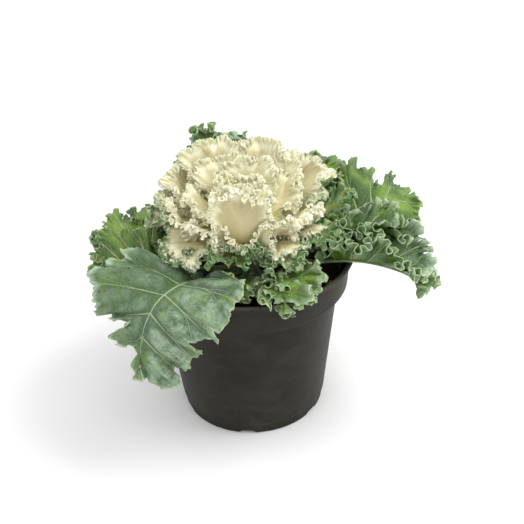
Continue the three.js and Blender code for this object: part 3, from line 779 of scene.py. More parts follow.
def calc(operation, *values, clamp=False):
    """A Math node on the values, of which one at least is a signal."""
    inputs = dict(enumerate(values))
    return signal(tree_of(values), "ShaderNodeMath", inputs, operation=operation, use_clamp=clamp)


def fade(value, start, end, low=0.0, high=1.0):
    """`low` up to `start` and `high` from `end` on, with a smooth change between them."""
    inputs = {0: value, 1: start, 2: end, 3: low, 4: high}
    return signal(value.tree, "ShaderNodeMapRange", inputs, interpolation_type="SMOOTHSTEP")


def blend(factor, first, second):
    """The first colour at factor 0, the second at 1."""
    values = (factor, first, second)
    colours = [value if isinstance(value, Signal) else (*value, 1.0) for value in values[1:]]
    inputs = {0: factor, 6: colours[0], 7: colours[1]}
    return signal(tree_of(values), "ShaderNodeMix", inputs, 2, data_type="RGBA")


def noise(vector, size, detail=3.0, rough=0.55, distortion=0.0):
    """Noise whose lumps are about `size` of the vector's own units across."""
    return signal(vector.tree, "ShaderNodeTexNoise", {
        "Vector": vector, "Scale": 1.0 / size, "Detail": detail, "Roughness": rough,
        "Distortion": distortion}, "Fac")


def attribute(tree, name):
    return signal(tree, "ShaderNodeAttribute", output="Vector", attribute_name=name)


def split(vector):
    outputs = put(vector.tree, "ShaderNodeSeparateXYZ", {0: vector}).outputs
    return [Signal(vector.tree, socket) for socket in outputs]


def scaled(vector, factors):
    """The vector with each of its parts multiplied."""
    return signal(vector.tree, "ShaderNodeVectorMath", {0: vector, 1: factors}, operation="MULTIPLY")


def in_mm(tree):
    """Object coordinates in millimetres."""
    return scaled(signal(tree, "ShaderNodeTexCoord", output="Object"), (1000.0, 1000.0, 1000.0))


def new_group(name, kind, inputs):
    """A node group with its input sockets, and the signals that these give."""
    tree = bpy.data.node_groups.new(name, kind)
    for label, (socket_type, value) in inputs.items():
        socket = tree.interface.new_socket(label, in_out="INPUT", socket_type="NodeSocket" + socket_type)
        if value is not None:
            socket.default_value = value
    given = tree.nodes.new("NodeGroupInput")
    return tree, {label: Signal(tree, given.outputs[label]) for label in inputs}


def complete_group(tree, socket_type, **results):
    """Gives the group its output sockets and links the results to them."""
    for label in results:
        tree.interface.new_socket(label, in_out="OUTPUT", socket_type="NodeSocket" + socket_type)
    put(tree, "NodeGroupOutput", results)
    return tree


def complete_copies(tree, given, points, instance, **places):
    """Ends a Geometry Nodes tree: a copy at each of the points, made real, with its material."""
    copies = signal(tree, "GeometryNodeInstanceOnPoints", {"Points": points, "Instance": instance, **places})
    real = signal(tree, "GeometryNodeRealizeInstances", {0: copies})
    painted = signal(tree, "GeometryNodeSetMaterial", {"Geometry": real, "Material": given["Material"]})
    return complete_group(tree, "Geometry", Geometry=painted)


def use_group(tree, group, inputs):
    """The results of a shader group, by name."""
    node = put(tree, "ShaderNodeGroup", inputs, node_tree=group)
    return {socket.name: Signal(tree, socket) for socket in node.outputs}


def colour(red, green, blue):
    """Linear colour from the 0 to 255 values of a screen."""
    shares = [value / 255 for value in (red, green, blue)]
    return tuple(s / 12.92 if s <= 0.04045 else ((s + 0.055) / 1.055) ** 2.4 for s in shares)


# -------------------------------------------------------------------------------------------------
# Effects that several finishes share
# -------------------------------------------------------------------------------------------------

def vein_group():
    """Midrib, side veins with their forks, and the fine net between them."""
    name = "Leaf veins"
    if name in bpy.data.node_groups:
        return bpy.data.node_groups[name]
    tree, given = new_group(name, "ShaderNodeTree", {
        "Veins": ("Vector", None), "Flat": ("Vector", None), "Share": ("Float", 0.0),
        "Midrib width": ("Float", 1.7), "Vein width": ("Float", 0.8), "Net size": ("Float", 5.0)})
    number, out, spacing = split(given["Veins"])
    s, v, _ = split(given["Flat"])
    aside = calc("PINGPONG", number, 0.5)
    width = given["Vein width"] * fade(out, 0.0, 1.0, 1.0, 0.45)
    side = aside * spacing
    main = 1.0 - fade(side / width, 0.25, 1.0)
    opening = fade(out, 0.3, 1.1) * 0.36
    fork_side = abs(aside - opening) * spacing
    fork = (1.0 - fade(fork_side / (width * 0.7), 0.2, 1.0)) * fade(out, 0.3, 0.42, 0.0, 0.75)
    rib_width = given["Midrib width"] * fade(given["Share"], 0.3, 0.97, 1.0, 0.06)
    rib = 1.0 - fade(abs(v) / rib_width, 0.35, 1.0)
    vein = calc("MAXIMUM", calc("MAXIMUM", main, fork), rib)
    plane = signal(tree, "ShaderNodeCombineXYZ", {0: s, 1: v})
    wobble = signal(tree, "ShaderNodeTexNoise", {"Vector": plane, "Scale": 0.35, "Detail": 2.0}, "Color")
    bent = signal(
        tree, "ShaderNodeVectorMath", {0: wobble, 1: (2.5, 2.5, 0.0), 2: plane}, operation="MULTIPLY_ADD")
    cells = {"Vector": bent, "Scale": 1.0 / given["Net size"], "Randomness": 1.0}
    edges = signal(tree, "ShaderNodeTexVoronoi", cells, "Distance",
                   feature="DISTANCE_TO_EDGE", voronoi_dimensions="2D")
    net = 1.0 - fade(edges, 0.02, 0.13)
    # Painted light and shade: 1 on the tops of the puffs between the veins, 0 in the grooves by the side
    # veins and the midrib.
    painted_puff_light = fade(side, 0.3, 5.0) * fade(fork_side, 0.0, 2.5, 0.5, 1.0) * fade(abs(v), 1.0, 7.0)
    return complete_group(tree, "Float", Vein=vein, Net=net, Relief=vein * 0.6 + net * 0.3, Dome=painted_puff_light)


def mottle_group():
    """Patches and fine grain of a surface, at a size in the vector's own units."""
    name = "Surface mottle"
    if name in bpy.data.node_groups:
        return bpy.data.node_groups[name]
    tree, given = new_group(name, "ShaderNodeTree", {
        "Vector": ("Vector", None), "Patch size": ("Float", 12.0), "Grain size": ("Float", 0.6)})
    patch = noise(given["Vector"], given["Patch size"], 4.0, 0.6, 0.3)
    grain = noise(given["Vector"], given["Grain size"], 2.0, 0.5)
    return complete_group(tree, "Float", Patches=fade(patch, 0.36, 0.66), Grain=grain)


def mottled(place, patch_size, grain_size):
    """The patches and the grain at a place."""
    sizes = {"Vector": place, "Patch size": patch_size, "Grain size": grain_size}
    return use_group(place.tree, mottle_group(), sizes).values()


def leaf_pattern(tree, widths):
    """What both leaf finishes read: upper side, tint, share of the length, distance from the
    margin, and the veins' results."""
    upper, tint, share = split(attribute(tree, "leaf_tone"))
    flat = attribute(tree, "leaf_flat")
    inputs = {"Veins": attribute(tree, "leaf_veins"), "Flat": flat, "Share": share, **widths}
    return upper, tint, share, split(flat)[2], use_group(tree, vein_group(), inputs)


# -------------------------------------------------------------------------------------------------
# Finishes
# -------------------------------------------------------------------------------------------------

def new_material(name):
    """A material with an empty tree, its Principled shader linked to its output."""
    material = bpy.data.materials.new(name)
    material.use_nodes = True
    tree = material.node_tree
    tree.nodes.clear()
    shader = put(tree, "ShaderNodeBsdfPrincipled")
    put(tree, "ShaderNodeOutputMaterial", {"Surface": Signal(tree, shader.outputs[0])})
    return material, tree, shader


def complete(shader, base, roughness, height, distance):
    """Gives the shader its colour, roughness and relief, `distance` metres for a height of 1."""
    bump = signal(base.tree, "ShaderNodeBump", {"Strength": 1.0, "Distance": distance, "Height": height})
    feed(shader, {"Base Color": base, "Roughness": roughness, "Normal": bump})


def scatter(shader, weight, radius, depth):
    """Light that goes `depth` metres into the surface, each colour by its share in `radius`."""
    feed(shader, {"Subsurface Weight": weight, "Subsurface Radius": radius, "Subsurface Scale": depth})


def green_leaf_finish(look):
    material, tree, shader = new_material("Green kale leaf")
    place = in_mm(tree)
    upper, bloom, _, gap, pattern = leaf_pattern(tree, {"Midrib width": 1.4, "Net size": 4.5})
    patches, grain = mottled(place, 11.0, 0.55)
    base = blend(fade(noise(place, 26, 2), 0.38, 0.66), look.deep_colour, look.fresh_colour)
    inner = fade(gap, 3.0, 13.0) * fade(bloom, 0.74, 0.84, 0.85, 0.0)
    dusty = bloom * fade(patches, 0.0, 1.0, 0.55, 1.0) * (1.0 - inner)
    dusty = calc("ADD", dusty, (grain - 0.5) * 0.5, clamp=True)
    # Bloom thick and light on the puffs, thin and dark by the veins: painted light on the puffs' tops and
    # painted shade in the grooves.
    bloom_and_light = fade(noise(place, 9, 6, 0.75), 0.36, 0.6) * fade(pattern["Dome"], 0.0, 1.0, 0.2, 1.0)
    # Less tint thins the bloom towards the darker colour: painted shade on the leaf half that has less.
    bloom_and_light = bloom_and_light * fade(bloom, 0.84, 1.1, 0.6, 1.0)
    waxy = blend(bloom_and_light, look.thin_bloom_and_shade, look.bloom_colour)
    frost = fade(noise(place, 1.6, 3, 0.7), 0.5, 0.7) * (bloom_and_light * 0.4)
    waxy = blend(frost, waxy, look.crest_colour)
    base = blend(dusty, base, waxy)
    base = blend(pattern["Net"] * 0.07, base, look.vein_colour)
    crest = fade(gap, 0.8, 6.0, 0.9, 0.0) * fade(bloom, 0.84, 0.9, 1.0, 0.2) * bloom
    base = blend(crest, base, look.crest_colour)
    # Undersides darker, towards deep green: painted shade on faces turned down; paler again near the margin.
    under = blend(0.6, base, look.deep_colour)
    under = blend(fade(gap, 1.5, 7.0, 1.0, 0.0) * 0.7, under, look.underside_colour)
    base = blend(upper, under, base)
    base = blend(pattern["Vein"] * fade(upper, 0.0, 1.0, 0.4, 0.85), base, look.vein_colour)
    # Painted highlight: a pale line along the margin, where the blade is seen edge-on.
    edge = 1.0 - fade(gap, 0.15, 0.8)
    base = blend(edge * 0.6, base, look.rim_highlight_colour)
    complete(shader, base, fade(dusty, 0.0, 1.0, 0.36, 0.58), grain * 0.35 - pattern["Relief"], 0.0009)
    scatter(shader, 0.1, (0.6, 1.0, 0.3), 0.002)
    return material


def cream_leaf_finish(look, name):
    material, tree, shader = new_material(name)
    place = in_mm(tree)
    upper, green, share, gap, pattern = leaf_pattern(
        tree, {"Midrib width": 1.6, "Vein width": 1.0, "Net size": 3.0})
    patches, grain = mottled(place, 9.0, 0.5)
    frill_edge = gap + (patches - 0.5) * 4.0
    # The foot's yellow reaches farther out on the upper sides; its lightness is partly painted light for the
    # heart's shaded middle.
    base = blend(fade(share - upper * 0.35, 0.1, 0.6), look.base_colour, look.blade_colour)
    base = blend(pattern["Vein"] * 0.06, base, look.frill_colour)
    base = blend(fade(frill_edge, 4.0, 11.0, 1.0, 0.0), base, look.frill_colour)
    fold = split(attribute(tree, "leaf_fold"))[0]
    # Painted light: the hollows of the folds, which lie in shade, are made lighter.
    base = blend(fade(fold, -1.4, -0.1, 1.0, 0.0), base, look.hollow_light_colour)
    base = blend(fade(green, 1.3, 3.0, 0.0, 0.9), base, look.leafy_colour)
    speckle = fade(noise(place, 2.4, 2, 0.6), 0.38, 0.56)
    fringe = 1.0 - fade(gap / calc("MULTIPLY_ADD", green, 5.0, 0.3), 0.3, 1.0)
    fringe = calc("MULTIPLY", fringe * speckle, green, clamp=True)
    base = blend(fringe, base, blend(patches, look.fringe_colour, look.fringe_light_colour))
    complete(shader, base, fade(grain, 0.3, 0.7, 0.42, 0.58), grain * 0.4 - pattern["Vein"] * 0.15, 0.0003)
    scatter(shader, 0.2, (0.85, 0.92, 1.0), 0.0009)
    return material


def plastic_finish(look):
    material, tree, shader = new_material("Matt grey plastic")
    place = in_mm(tree)
    up = split(place)[2]
    patches, grain = mottled(place, 22.0, 0.45)
    streaks = noise(scaled(place, (0.7, 0.7, 1.4)), 9, 4, 0.65)
    # Lighter patches towards the pot's foot.
    low = fade(up, 4.0, 55.0, 1.0, 0.0) * fade(noise(place, 7, 5, 0.65), 0.3, 0.7)
    dust_and_lip_highlight = calc("ADD", fade(streaks, 0.42, 0.72) * 0.25, low * 0.6, clamp=True)
    dust_and_lip_highlight = (dust_and_lip_highlight + fade(abs(up - SEAM_HEIGHT), 0.15, 0.6, 0.6, 0.0)) * look.dust_amount
    # Painted highlight: a lighter band along the lip's top edge.
    dust_and_lip_highlight = calc("MAXIMUM", dust_and_lip_highlight, fade(up, POT_HEIGHT - 1.6, POT_HEIGHT - 0.2, 0.0, 0.6))
    base = blend(patches, look.plastic_colour, look.worn_colour)
    base = blend(dust_and_lip_highlight, base, look.dust_and_highlight_colour)
    scratches = noise(scaled(place, (0.15, 0.15, 2.2)), 1 / 1.2, 2, 0.5)
    roughness = fade(grain, 0.3, 0.7, 0.42, 0.54) + dust_and_lip_highlight * 0.3
    complete(shader, base, roughness, grain * 0.5 + scratches * 0.2, 0.00025)
    feed(shader, {"Specular IOR Level": 0.13})
    return material


def patchy_finish(name, sizes, colours, roughness, distance):
    """Patches of two colours, with a third on the highest grains if there is one."""
    material, tree, shader = new_material(name)
    patches, grain = mottled(in_mm(tree), *sizes)
    base = blend(patches, *colours[:2])
    for speck in colours[2:]:
        base = blend(fade(grain, 0.6, 0.75, 0.0, 0.7), base, speck)
    complete(shader, base, fade(grain, 0.3, 0.7, *roughness), grain, distance)
    return material


# -------------------------------------------------------------------------------------------------
# Sizes and colours a user may change
# -------------------------------------------------------------------------------------------------

def colour_input(name, description, default):
    return bpy.props.FloatVectorProperty(
        name=name, description=description, default=default, size=3, min=0, max=1, subtype="COLOR")


def length_input(name, description, default):
    return bpy.props.FloatProperty(
        name=name, description=description, default=default * MM, min=0, unit="LENGTH", precision=5)


class PotLook(bpy.types.PropertyGroup):
    plastic_colour: colour_input("Plastic", "Colour of the pot", colour(30, 28, 22))
    worn_colour: colour_input("Worn plastic", "Colour where the pot is rubbed", colour(41, 38, 31))
    # Also the painted highlight along the lip.
    dust_and_highlight_colour: colour_input("Dust", "Colour of dust and dried water marks", colour(84, 82, 72))
    dust_amount: bpy.props.FloatProperty(
        name="Dust amount", description="How dusty the pot is", default=0.24, min=0, max=1)
    rounding: length_input("Edge rounding", "Radius of the pot's edges", 0.7)
    sides: bpy.props.IntProperty(
        name="Sides", description="Facets round the pot", default=180, min=24, max=360)


class PeatLook(bpy.types.PropertyGroup):
    peat_colour: colour_input("Peat", "Colour of the wet peat", colour(30, 24, 19))
    fibre_colour: colour_input("Fibre", "Colour of its drier fibres", colour(58, 45, 34))
    crumb_colour: colour_input("Crumb", "Colour of the lightest crumbs", colour(96, 74, 52))
    dry_colour: colour_input("Dry leaf", "Colour of the dry leaf scrap", colour(150, 88, 38))
    dry_light_colour: colour_input("Dry leaf, light", "Light colour of the scrap", colour(205, 150, 84))
    crumb_size: length_input("Crumb size", "Size of the largest crumbs", 2.4)
    crumbs: bpy.props.IntProperty(
        name="Crumbs", description="Number of loose crumbs", default=1500, min=0, max=4000)
    seed: bpy.props.IntProperty(name="Seed", description="Start of the random draws", default=7)


class StemLook(bpy.types.PropertyGroup):
    stem_colour: colour_input("Stem", "Colour of the stem", colour(176, 186, 132))
    scar_colour: colour_input("Leaf scar", "Colour of old leaf scars", colour(138, 132, 92))


class GreenLeafLook(bpy.types.PropertyGroup):
    deep_colour: colour_input("Deep green", "Darkest green of the blades", colour(58, 92, 20))
    fresh_colour: colour_input("Fresh green", "Lightest green of the blades", colour(122, 156, 42))
    bloom_colour: colour_input("Bloom", "Lightest colour of the waxy bloom", colour(140, 161, 136))
    # Also the painted shade of the grooves by the veins and of a leaf's shaded half.
    thin_bloom_and_shade: colour_input("Thin bloom", "Colour of the waxy bloom where it is thin", colour(61, 90, 62))
    underside_colour: colour_input("Underside", "Colour of the undersides", colour(122, 150, 100))
    crest_colour: colour_input("Crest", "Colour of the waxy crests of the margins", colour(186, 208, 182))
    vein_colour: colour_input("Veins", "Colour of veins and stalks", colour(174, 190, 148))
    # A painted highlight along the margins.
    rim_highlight_colour: colour_input("Rim", "Colour of the curled margins", colour(188, 206, 148))
    thickness: length_input("Thickness", "Thickness of the blades", 0.5)


class CreamLeafLook(bpy.types.PropertyGroup):
    # Partly painted light: kept light for the heart's shaded middle.
    base_colour: colour_input("Base", "Colour at the foot of the heart's leaves", colour(254, 248, 200))
    blade_colour: colour_input("Blade", "Colour of the smooth blades", colour(188, 177, 136))
    frill_colour: colour_input("Frill", "Colour of the frilled margins", colour(229, 226, 194))
    # Painted light for the shaded hollows of the folds.
    hollow_light_colour: colour_input("Hollows", "Colour deep in the folds of the frills", colour(255, 253, 226))
    leafy_colour: colour_input("Leafy blade", "Colour of the greenest blades", colour(160, 172, 96))
    fringe_colour: colour_input("Green fringe", "Green at the outer frills", colour(88, 126, 76))
    fringe_light_colour: colour_input("Light fringe", "Lighter green of the fringes", colour(150, 180, 126))
    thickness: length_input("Thickness", "Thickness of the blades", 0.45)


class StageLook(bpy.types.PropertyGroup):
    floor_colour: colour_input("Floor", "Colour of the floor", (0.94, 0.94, 0.94))
    daylight: bpy.props.FloatProperty(
        name="Daylight", description="Strength of the light from all round", default=1.02, min=0)
    lamp_power: bpy.props.FloatProperty(
        name="Lamp", description="Power of the soft lamp at the right", default=9.0, min=0, unit="POWER")


LOOKS = {
    "kale_pot": PotLook, "kale_peat": PeatLook, "kale_stem": StemLook, "kale_green": GreenLeafLook,
    "kale_cream": CreamLeafLook, "kale_stage": StageLook}


# -------------------------------------------------------------------------------------------------
# Pot, peat and stem
# -------------------------------------------------------------------------------------------------

def pot_profile():
    """The pot's wall from the middle of its underside, round the lip, to the middle of its floor."""
    inside = BAND_RADIUS - POT_WALL
    floor_edge = BODY_BOTTOM_RADIUS - POT_WALL
    underside = (
        (0, 0), (CHANNEL_INNER, 0), (CHANNEL_INNER + 0.8, CHANNEL_DEPTH),
        (CHANNEL_OUTER - 0.8, CHANNEL_DEPTH), (CHANNEL_OUTER, 0), (FOOT_RADIUS - 0.8, 0))
    outer_wall = (
        (FOOT_RADIUS, 0.9), (FOOT_RADIUS + 0.3, SEAM_HEIGHT - 0.9), (BODY_BOTTOM_RADIUS, SEAM_HEIGHT),
        (BODY_TOP_RADIUS, BAND_BOTTOM), (BAND_RADIUS - 0.9, BAND_BOTTOM + 1.2),
        (BAND_RADIUS + 0.5, POT_HEIGHT - 4.6))
    lip = (
        (LIP_RADIUS - 0.4, POT_HEIGHT - 1.8), (LIP_RADIUS, POT_HEIGHT - 0.9), (LIP_RADIUS - 0.7, POT_HEIGHT),
        (LIP_RADIUS - 2.6, POT_HEIGHT - 0.3))
    inner_wall = (
        (inside, POT_HEIGHT - 4.4), (inside - BAND_TAPER, BAND_BOTTOM + 2.6),
        (BODY_TOP_RADIUS - POT_WALL, BAND_BOTTOM - 0.4), (floor_edge - 0.6, POT_FLOOR + 2),
        (floor_edge - 2.6, POT_FLOOR), (0, POT_FLOOR))
    return underside + outer_wall + lip + inner_wall


def rounded(profile, radius, steps=4):
    """The profile with each of its corners rounded off."""
    points = [np.array(point, float) for point in profile]
    result = [points[0]]
    for before, corner, after in zip(points, points[1:], points[2:]):
        reach = min(radius, 0.45 * math.dist(before, corner), 0.45 * math.dist(corner, after))
        start = corner + unit(before - corner) * reach
        end = corner + unit(after - corner) * reach
        for t in np.linspace(0, 1, steps):
            result.append((1 - t) ** 2 * start + 2 * t * (1 - t) * corner + t ** 2 * end)
    return [*result, points[-1]]


def ring_of_copies_tree():
    """Copies of one cutter, turned in even steps about the pot's axis."""
    tree, given = new_group("Ring of copies", "GeometryNodeTree", {
        "Geometry": ("Geometry", None), "Count": ("Int", NOTCHES), "Material": ("Material", None)})
    points = signal(tree, "GeometryNodeMeshLine", {"Count": given["Count"], "Offset": (0, 0, 0)})
    turn = signal(tree, "GeometryNodeInputIndex") * (2 * math.pi) / given["Count"]
    turns = signal(tree, "FunctionNodeEulerToRotation", {0: signal(tree, "ShaderNodeCombineXYZ", {2: turn})})
    return complete_copies(tree, given, points, given["Geometry"], Rotation=turns)


def cutter_mesh(shape, name):
    """The shape as a mesh, turned from +X to the first notch."""
    turn = Matrix.Rotation(NOTCH_AZIMUTH * DEG, 3, "Z")
    bmesh.ops.rotate(shape, cent=(0, 0, 0), matrix=turn, verts=shape.verts)
    mesh = bpy.data.meshes.new(name)
    shape.to_mesh(mesh)
    shape.free()
    return mesh


def notch_cutter():
    """A prism through the foot ring, wide at the floor and round at its narrower top."""
    flare = (NOTCH_BOTTOM_WIDTH - NOTCH_TOP_WIDTH) / 2
    wide = NOTCH_BOTTOM_WIDTH / 2 + flare / NOTCH_HEIGHT
    outline = [(-wide, -1), (wide, -1)]
    for turn in np.linspace(0, math.pi, 9):
        height = NOTCH_HEIGHT - NOTCH_ROUND * (1 - math.sin(turn))
        outline.append((NOTCH_TOP_WIDTH / 2 * math.cos(turn), height))
    shape = bmesh.new()
    near, far = (
        [shape.verts.new((radius * MM, across * MM, height * MM)) for across, height in outline]
        for radius in (CHANNEL_OUTER - 1.5, FOOT_RADIUS + 3))
    for k in range(len(outline)):
        shape.faces.new((near[k - 1], near[k], far[k], far[k - 1]))
    shape.faces.new(near)
    shape.faces.new(far)
    bmesh.ops.recalc_face_normals(shape, faces=shape.faces)
    return cutter_mesh(shape, "notch_cutter")


def drain_cutter():
    """An upright rod through the channel."""
    shape = bmesh.new()
    radius = DRAIN_RADIUS * MM
    bmesh.ops.create_cone(
        shape, cap_ends=True, segments=32, radius1=radius, radius2=radius, depth=3 * POT_FLOOR * MM)
    middle = ((CHANNEL_INNER + CHANNEL_OUTER) / 2 * MM, 0, POT_FLOOR / 2 * MM)
    bmesh.ops.translate(shape, vec=middle, verts=shape.verts)
    return cutter_mesh(shape, "drain_cutter")


def keep_edges_sharp(mesh, angle):
    """Shades the mesh smooth but for the edges that bend more than `angle`."""
    mesh.shade_smooth()
    shape = bmesh.new()
    shape.from_mesh(mesh)
    for edge in shape.edges:
        edge.smooth = len(edge.link_faces) == 2 and edge.calc_face_angle() < angle
    shape.to_mesh(mesh)
    shape.free()


class BuildPot(bpy.types.Operator):
    """Builds the pot as one turned wall, with its drain notches and holes"""
    bl_idname = "kale.build_pot"
    bl_label = "Pot"

    def execute(self, context):
        look = context.scene.kale_pot
        material = plastic_finish(look)
        shell = Shell()
        add_lathe(shell, rounded(pot_profile(), look.rounding / MM), look.sides)
        tree = ring_of_copies_tree()
        cutters = [
            new_object("cutter_ring", grown(cutter, tree, {"Count": NOTCHES, "Material": material}))
            for cutter in (notch_cutter(), drain_cutter())]

        def cut(holder):
            for cutter in cutters:
                modifier = holder.modifiers.new("cut", "BOOLEAN")
                modifier.operation = "DIFFERENCE"
                modifier.solver = "EXACT"
                modifier.object = cutter

        pot = applied(shell.make_mesh("pot_wall", ()), cut)
        for cutter in cutters:
            bpy.data.objects.remove(cutter)
        keep_edges_sharp(pot, SHARPEST_SMOOTH * DEG)
        place_piece(pot, "plastic_pot", ["pot"], material)
        return {"FINISHED"}


def soil_height(x, y):
    """The peat's low mounds, as on its solid."""
    out = np.hypot(x, y)
    waves = 0.5 * np.sin(0.21 * x + 1.1) * np.cos(0.17 * y) + 0.4 * np.sin(0.31 * y - 0.13 * x)
    mound = 1.2 * np.maximum(0, 1 - out / 30) - 1.2 * np.maximum(0, out / 58 - 0.8)
    return SOIL_LEVEL + SOIL_RISE * waves + mound


def crumb_tree():
    """Crumbs of peat strewn over a surface: dented balls, turned and sized at random."""
    tree, given = new_group("Peat crumbs", "GeometryNodeTree", {
        "Geometry": ("Geometry", None), "Density": ("Float", 1.0), "Size": ("Float", 0.002),
        "Seed": ("Int", 1), "Material": ("Material", None)})

    def random_vector(least, most):
        inputs = {0: least, 1: most, "Seed": given["Seed"]}
        return signal(tree, "FunctionNodeRandomValue", inputs, data_type="FLOAT_VECTOR")

    surface = {"Mesh": given["Geometry"], "Density": given["Density"], "Seed": given["Seed"]}
    points = signal(tree, "GeometryNodeDistributePointsOnFaces", surface, distribute_method="RANDOM")
    ball = signal(tree, "GeometryNodeMeshIcoSphere", {"Radius": 0.5, "Subdivisions": 1})
    dent = signal(tree, "ShaderNodeTexNoise", {"Scale": 1.7, "Detail": 2.0}, "Color")
    dent = signal(tree, "ShaderNodeVectorMath", {0: dent, 1: (0.5, 0.5, 0.5)}, operation="SUBTRACT")
    dented = signal(tree, "GeometryNodeSetPosition", {"Geometry": ball, "Offset": dent})
    spin = random_vector((0, 0, 0), (6.28, 6.28, 6.28))
    turns = signal(tree, "FunctionNodeEulerToRotation", {0: spin})
    size = {0: random_vector((0.25, 0.2, 0.15), (1.0, 0.8, 0.6)), "Scale": given["Size"]}
    scale = signal(tree, "ShaderNodeVectorMath", size, operation="SCALE")
    return complete_copies(tree, given, points, dented, Rotation=turns, Scale=scale)


def peat_top(rng):
    """Rings of points of the peat's rough top, from its edge to the middle."""
    rings = circles([(radius, 0.0) for radius in np.linspace(SOIL_RADIUS, 1.2, SOIL_RINGS)], SOIL_SECTORS)
    x, y = rings[..., 0], rings[..., 1]
    rough = 0.9 * lumps(rings, 6.0, rng) + 0.7 * lumps(rings, 2.6, rng) + 0.4 * lumps(rings, 1.2, rng)
    rough = rough * np.clip((SOIL_RADIUS - np.hypot(x, y)) / 2, 0.15, 1)
    return np.stack((x, y, soil_height(x, y) + rough - 0.3), -1)


def peat_side():
    """The peat's (radius, height) down the pot's inside, from the floor up."""
    slope = (BODY_TOP_RADIUS - BODY_BOTTOM_RADIUS) / (BAND_BOTTOM - SEAM_HEIGHT)
    side = []
    for height, inset in ((SOIL_BOTTOM, 4.6), (SOIL_BOTTOM + 3, 1.4), (BAND_BOTTOM - 0.4, 0)):
        wall = BODY_BOTTOM_RADIUS + slope * (height - SEAM_HEIGHT) - POT_WALL
        side.append((wall - SOIL_GAP - inset, height))
    return [*side, (SOIL_RADIUS, BAND_BOTTOM + 2.8)]


def sheet_mesh(name, points):
    """A grid of points as a sheet without thickness."""
    numbers = np.arange(points[..., 0].size).reshape(points.shape[:2])
    mesh = bpy.data.meshes.new(name)
    mesh.from_pydata(points.reshape(-1, 3) * MM, [], quads(numbers).tolist())
    return mesh


def scrap_points():
    """A curled scrap of dead leaf that lies on the peat."""
    along, across = np.meshgrid(np.linspace(-1, 1, 21), np.linspace(-1, 1, 11))
    ahead = SCRAP_HALF_LENGTH * along
    aside = SCRAP_HALF_WIDTH * (1 - 0.65 * along ** 2) * (1 + 0.2 * np.sin(9 * along + 2 * across)) * across
    x = SCRAP_PLACE[0] + ahead * math.cos(SCRAP_TURN) - aside * math.sin(SCRAP_TURN)
    y = SCRAP_PLACE[1] + ahead * math.sin(SCRAP_TURN) + aside * math.cos(SCRAP_TURN)
    curl = 1.4 + 1.1 * across ** 2 + 0.9 * along ** 2 + 0.4 * np.sin(7 * along - 3 * across)
    return np.stack((x, y, soil_height(x, y) + curl), -1)


def thicken(holder):
    modifier = holder.modifiers.new("thickness", "SOLIDIFY")
    modifier.thickness = SCRAP_THICKNESS * MM
    modifier.offset = 0


class BuildPeat(bpy.types.Operator):
    """Builds the peat that fills the pot, its loose crumbs and a scrap of dry leaf"""
    bl_idname = "kale.build_peat"
    bl_label = "Peat"

    def execute(self, context):
        look = context.scene.kale_peat
        colours = (look.peat_colour, look.fibre_colour, look.crumb_colour)
        material = patchy_finish("Dark peat", (4.0, 0.7), colours, (0.8, 0.98), 0.0008)
        top = peat_top(np.random.default_rng(look.seed))
        shell = Shell()
        rings = np.concatenate((circles(peat_side(), SOIL_SECTORS), top))
        add_rings(shell, rings, SOIL_BOTTOM, top[-1, :, 2].mean())
        place_piece(shell.make_mesh("peat_body", ()), "peat_fill", ["soil"], material)

        bed = sheet_mesh("peat_surface", wrapped(top[2:]))
        density = look.crumbs / sum(face.area for face in bed.polygons)
        crumbs = grown(bed, crumb_tree(), {
            "Density": density, "Size": look.crumb_size, "Seed": look.seed, "Material": material})
        crumbs.shade_smooth()
        place_piece(crumbs, "peat_crumbs", ["soil"], material)

        scrap = applied(sheet_mesh("scrap_sheet", scrap_points()), thicken)
        scrap.shade_smooth()
        colours = (look.dry_colour, look.dry_light_colour)
        dry_leaf = patchy_finish("Dry leaf scrap", (2.5, 0.4), colours, (0.5, 0.8), 0.0004)
        place_piece(scrap, "dry_leaf_scrap", ["soil"], dry_leaf)
        return {"FINISHED"}


class BuildStem(bpy.types.Operator):
    """Builds the short stem, with the rings of old leaf scars"""
    bl_idname = "kale.build_stem"
    bl_label = "Stem"

    def execute(self, context):
        look = context.scene.kale_stem
        heights = np.linspace(STEM_BOTTOM, STEM_TOP, 60)
        knots = (STEM_BOTTOM, STEM_BOTTOM + 6, SOIL_LEVEL, STEM_TOP)
        radii = np.interp(heights, knots, STEM_RADIUS * np.array((0.7, 0.95, 1.0, 0.9)))
        radii = radii - 0.3 + 0.25 * np.abs(np.sin(heights * 0.9))
        shell = Shell()
        add_lathe(shell, [(0, STEM_BOTTOM), *zip(radii, heights), (0, STEM_TOP)], 40)
        colours = (look.stem_colour, look.scar_colour)
        material = patchy_finish("Pale kale stem", (5.0, 0.5), colours, (0.5, 0.7), 0.0004)
        place_piece(shell.make_mesh("stem_wood", ()), "kale_stem", ["stem"], material)
        return {"FINISHED"}


# -------------------------------------------------------------------------------------------------
# Leaves
# -------------------------------------------------------------------------------------------------

class BuildOuterLeaves(bpy.types.Operator):
    """Builds the large green leaves with their stalks"""
    bl_idname = "kale.build_outer_leaves"
    bl_label = "Outer leaves"

    def execute(self, context):
        look = context.scene.kale_green
        material = green_leaf_finish(look)
        for number, (name, leaf) in enumerate(OUTER_LEAVES.items()):
            shell = Shell()
            rng = np.random.default_rng(OUTER_SEED + number)
            midrib = add_blade(shell, leaf, OUTER_RINGS, look.thickness / MM, rng)
            add_stalk(shell, leaf, midrib)
            piece_name = name.replace("leaf_", "green_leaf_")
            place_piece(shell.make_mesh(name), piece_name, [name], material)
        return {"FINISHED"}


def frilled_leaf(row, sides, wave_height, waves, phase, **changes):
    azimuth, width, tint, roll, *spine = row
    return Leaf(
        azimuth, width, spine, waves, wave_height, phase, tint=tint, roll=roll, left=sides, right=sides,
        widest=0.62, puff=0.5, vein_count=4.5, lobe_length=12, lobe_depth=0.7, tooth_length=4.6,
        tooth_depth=0.9, **changes)


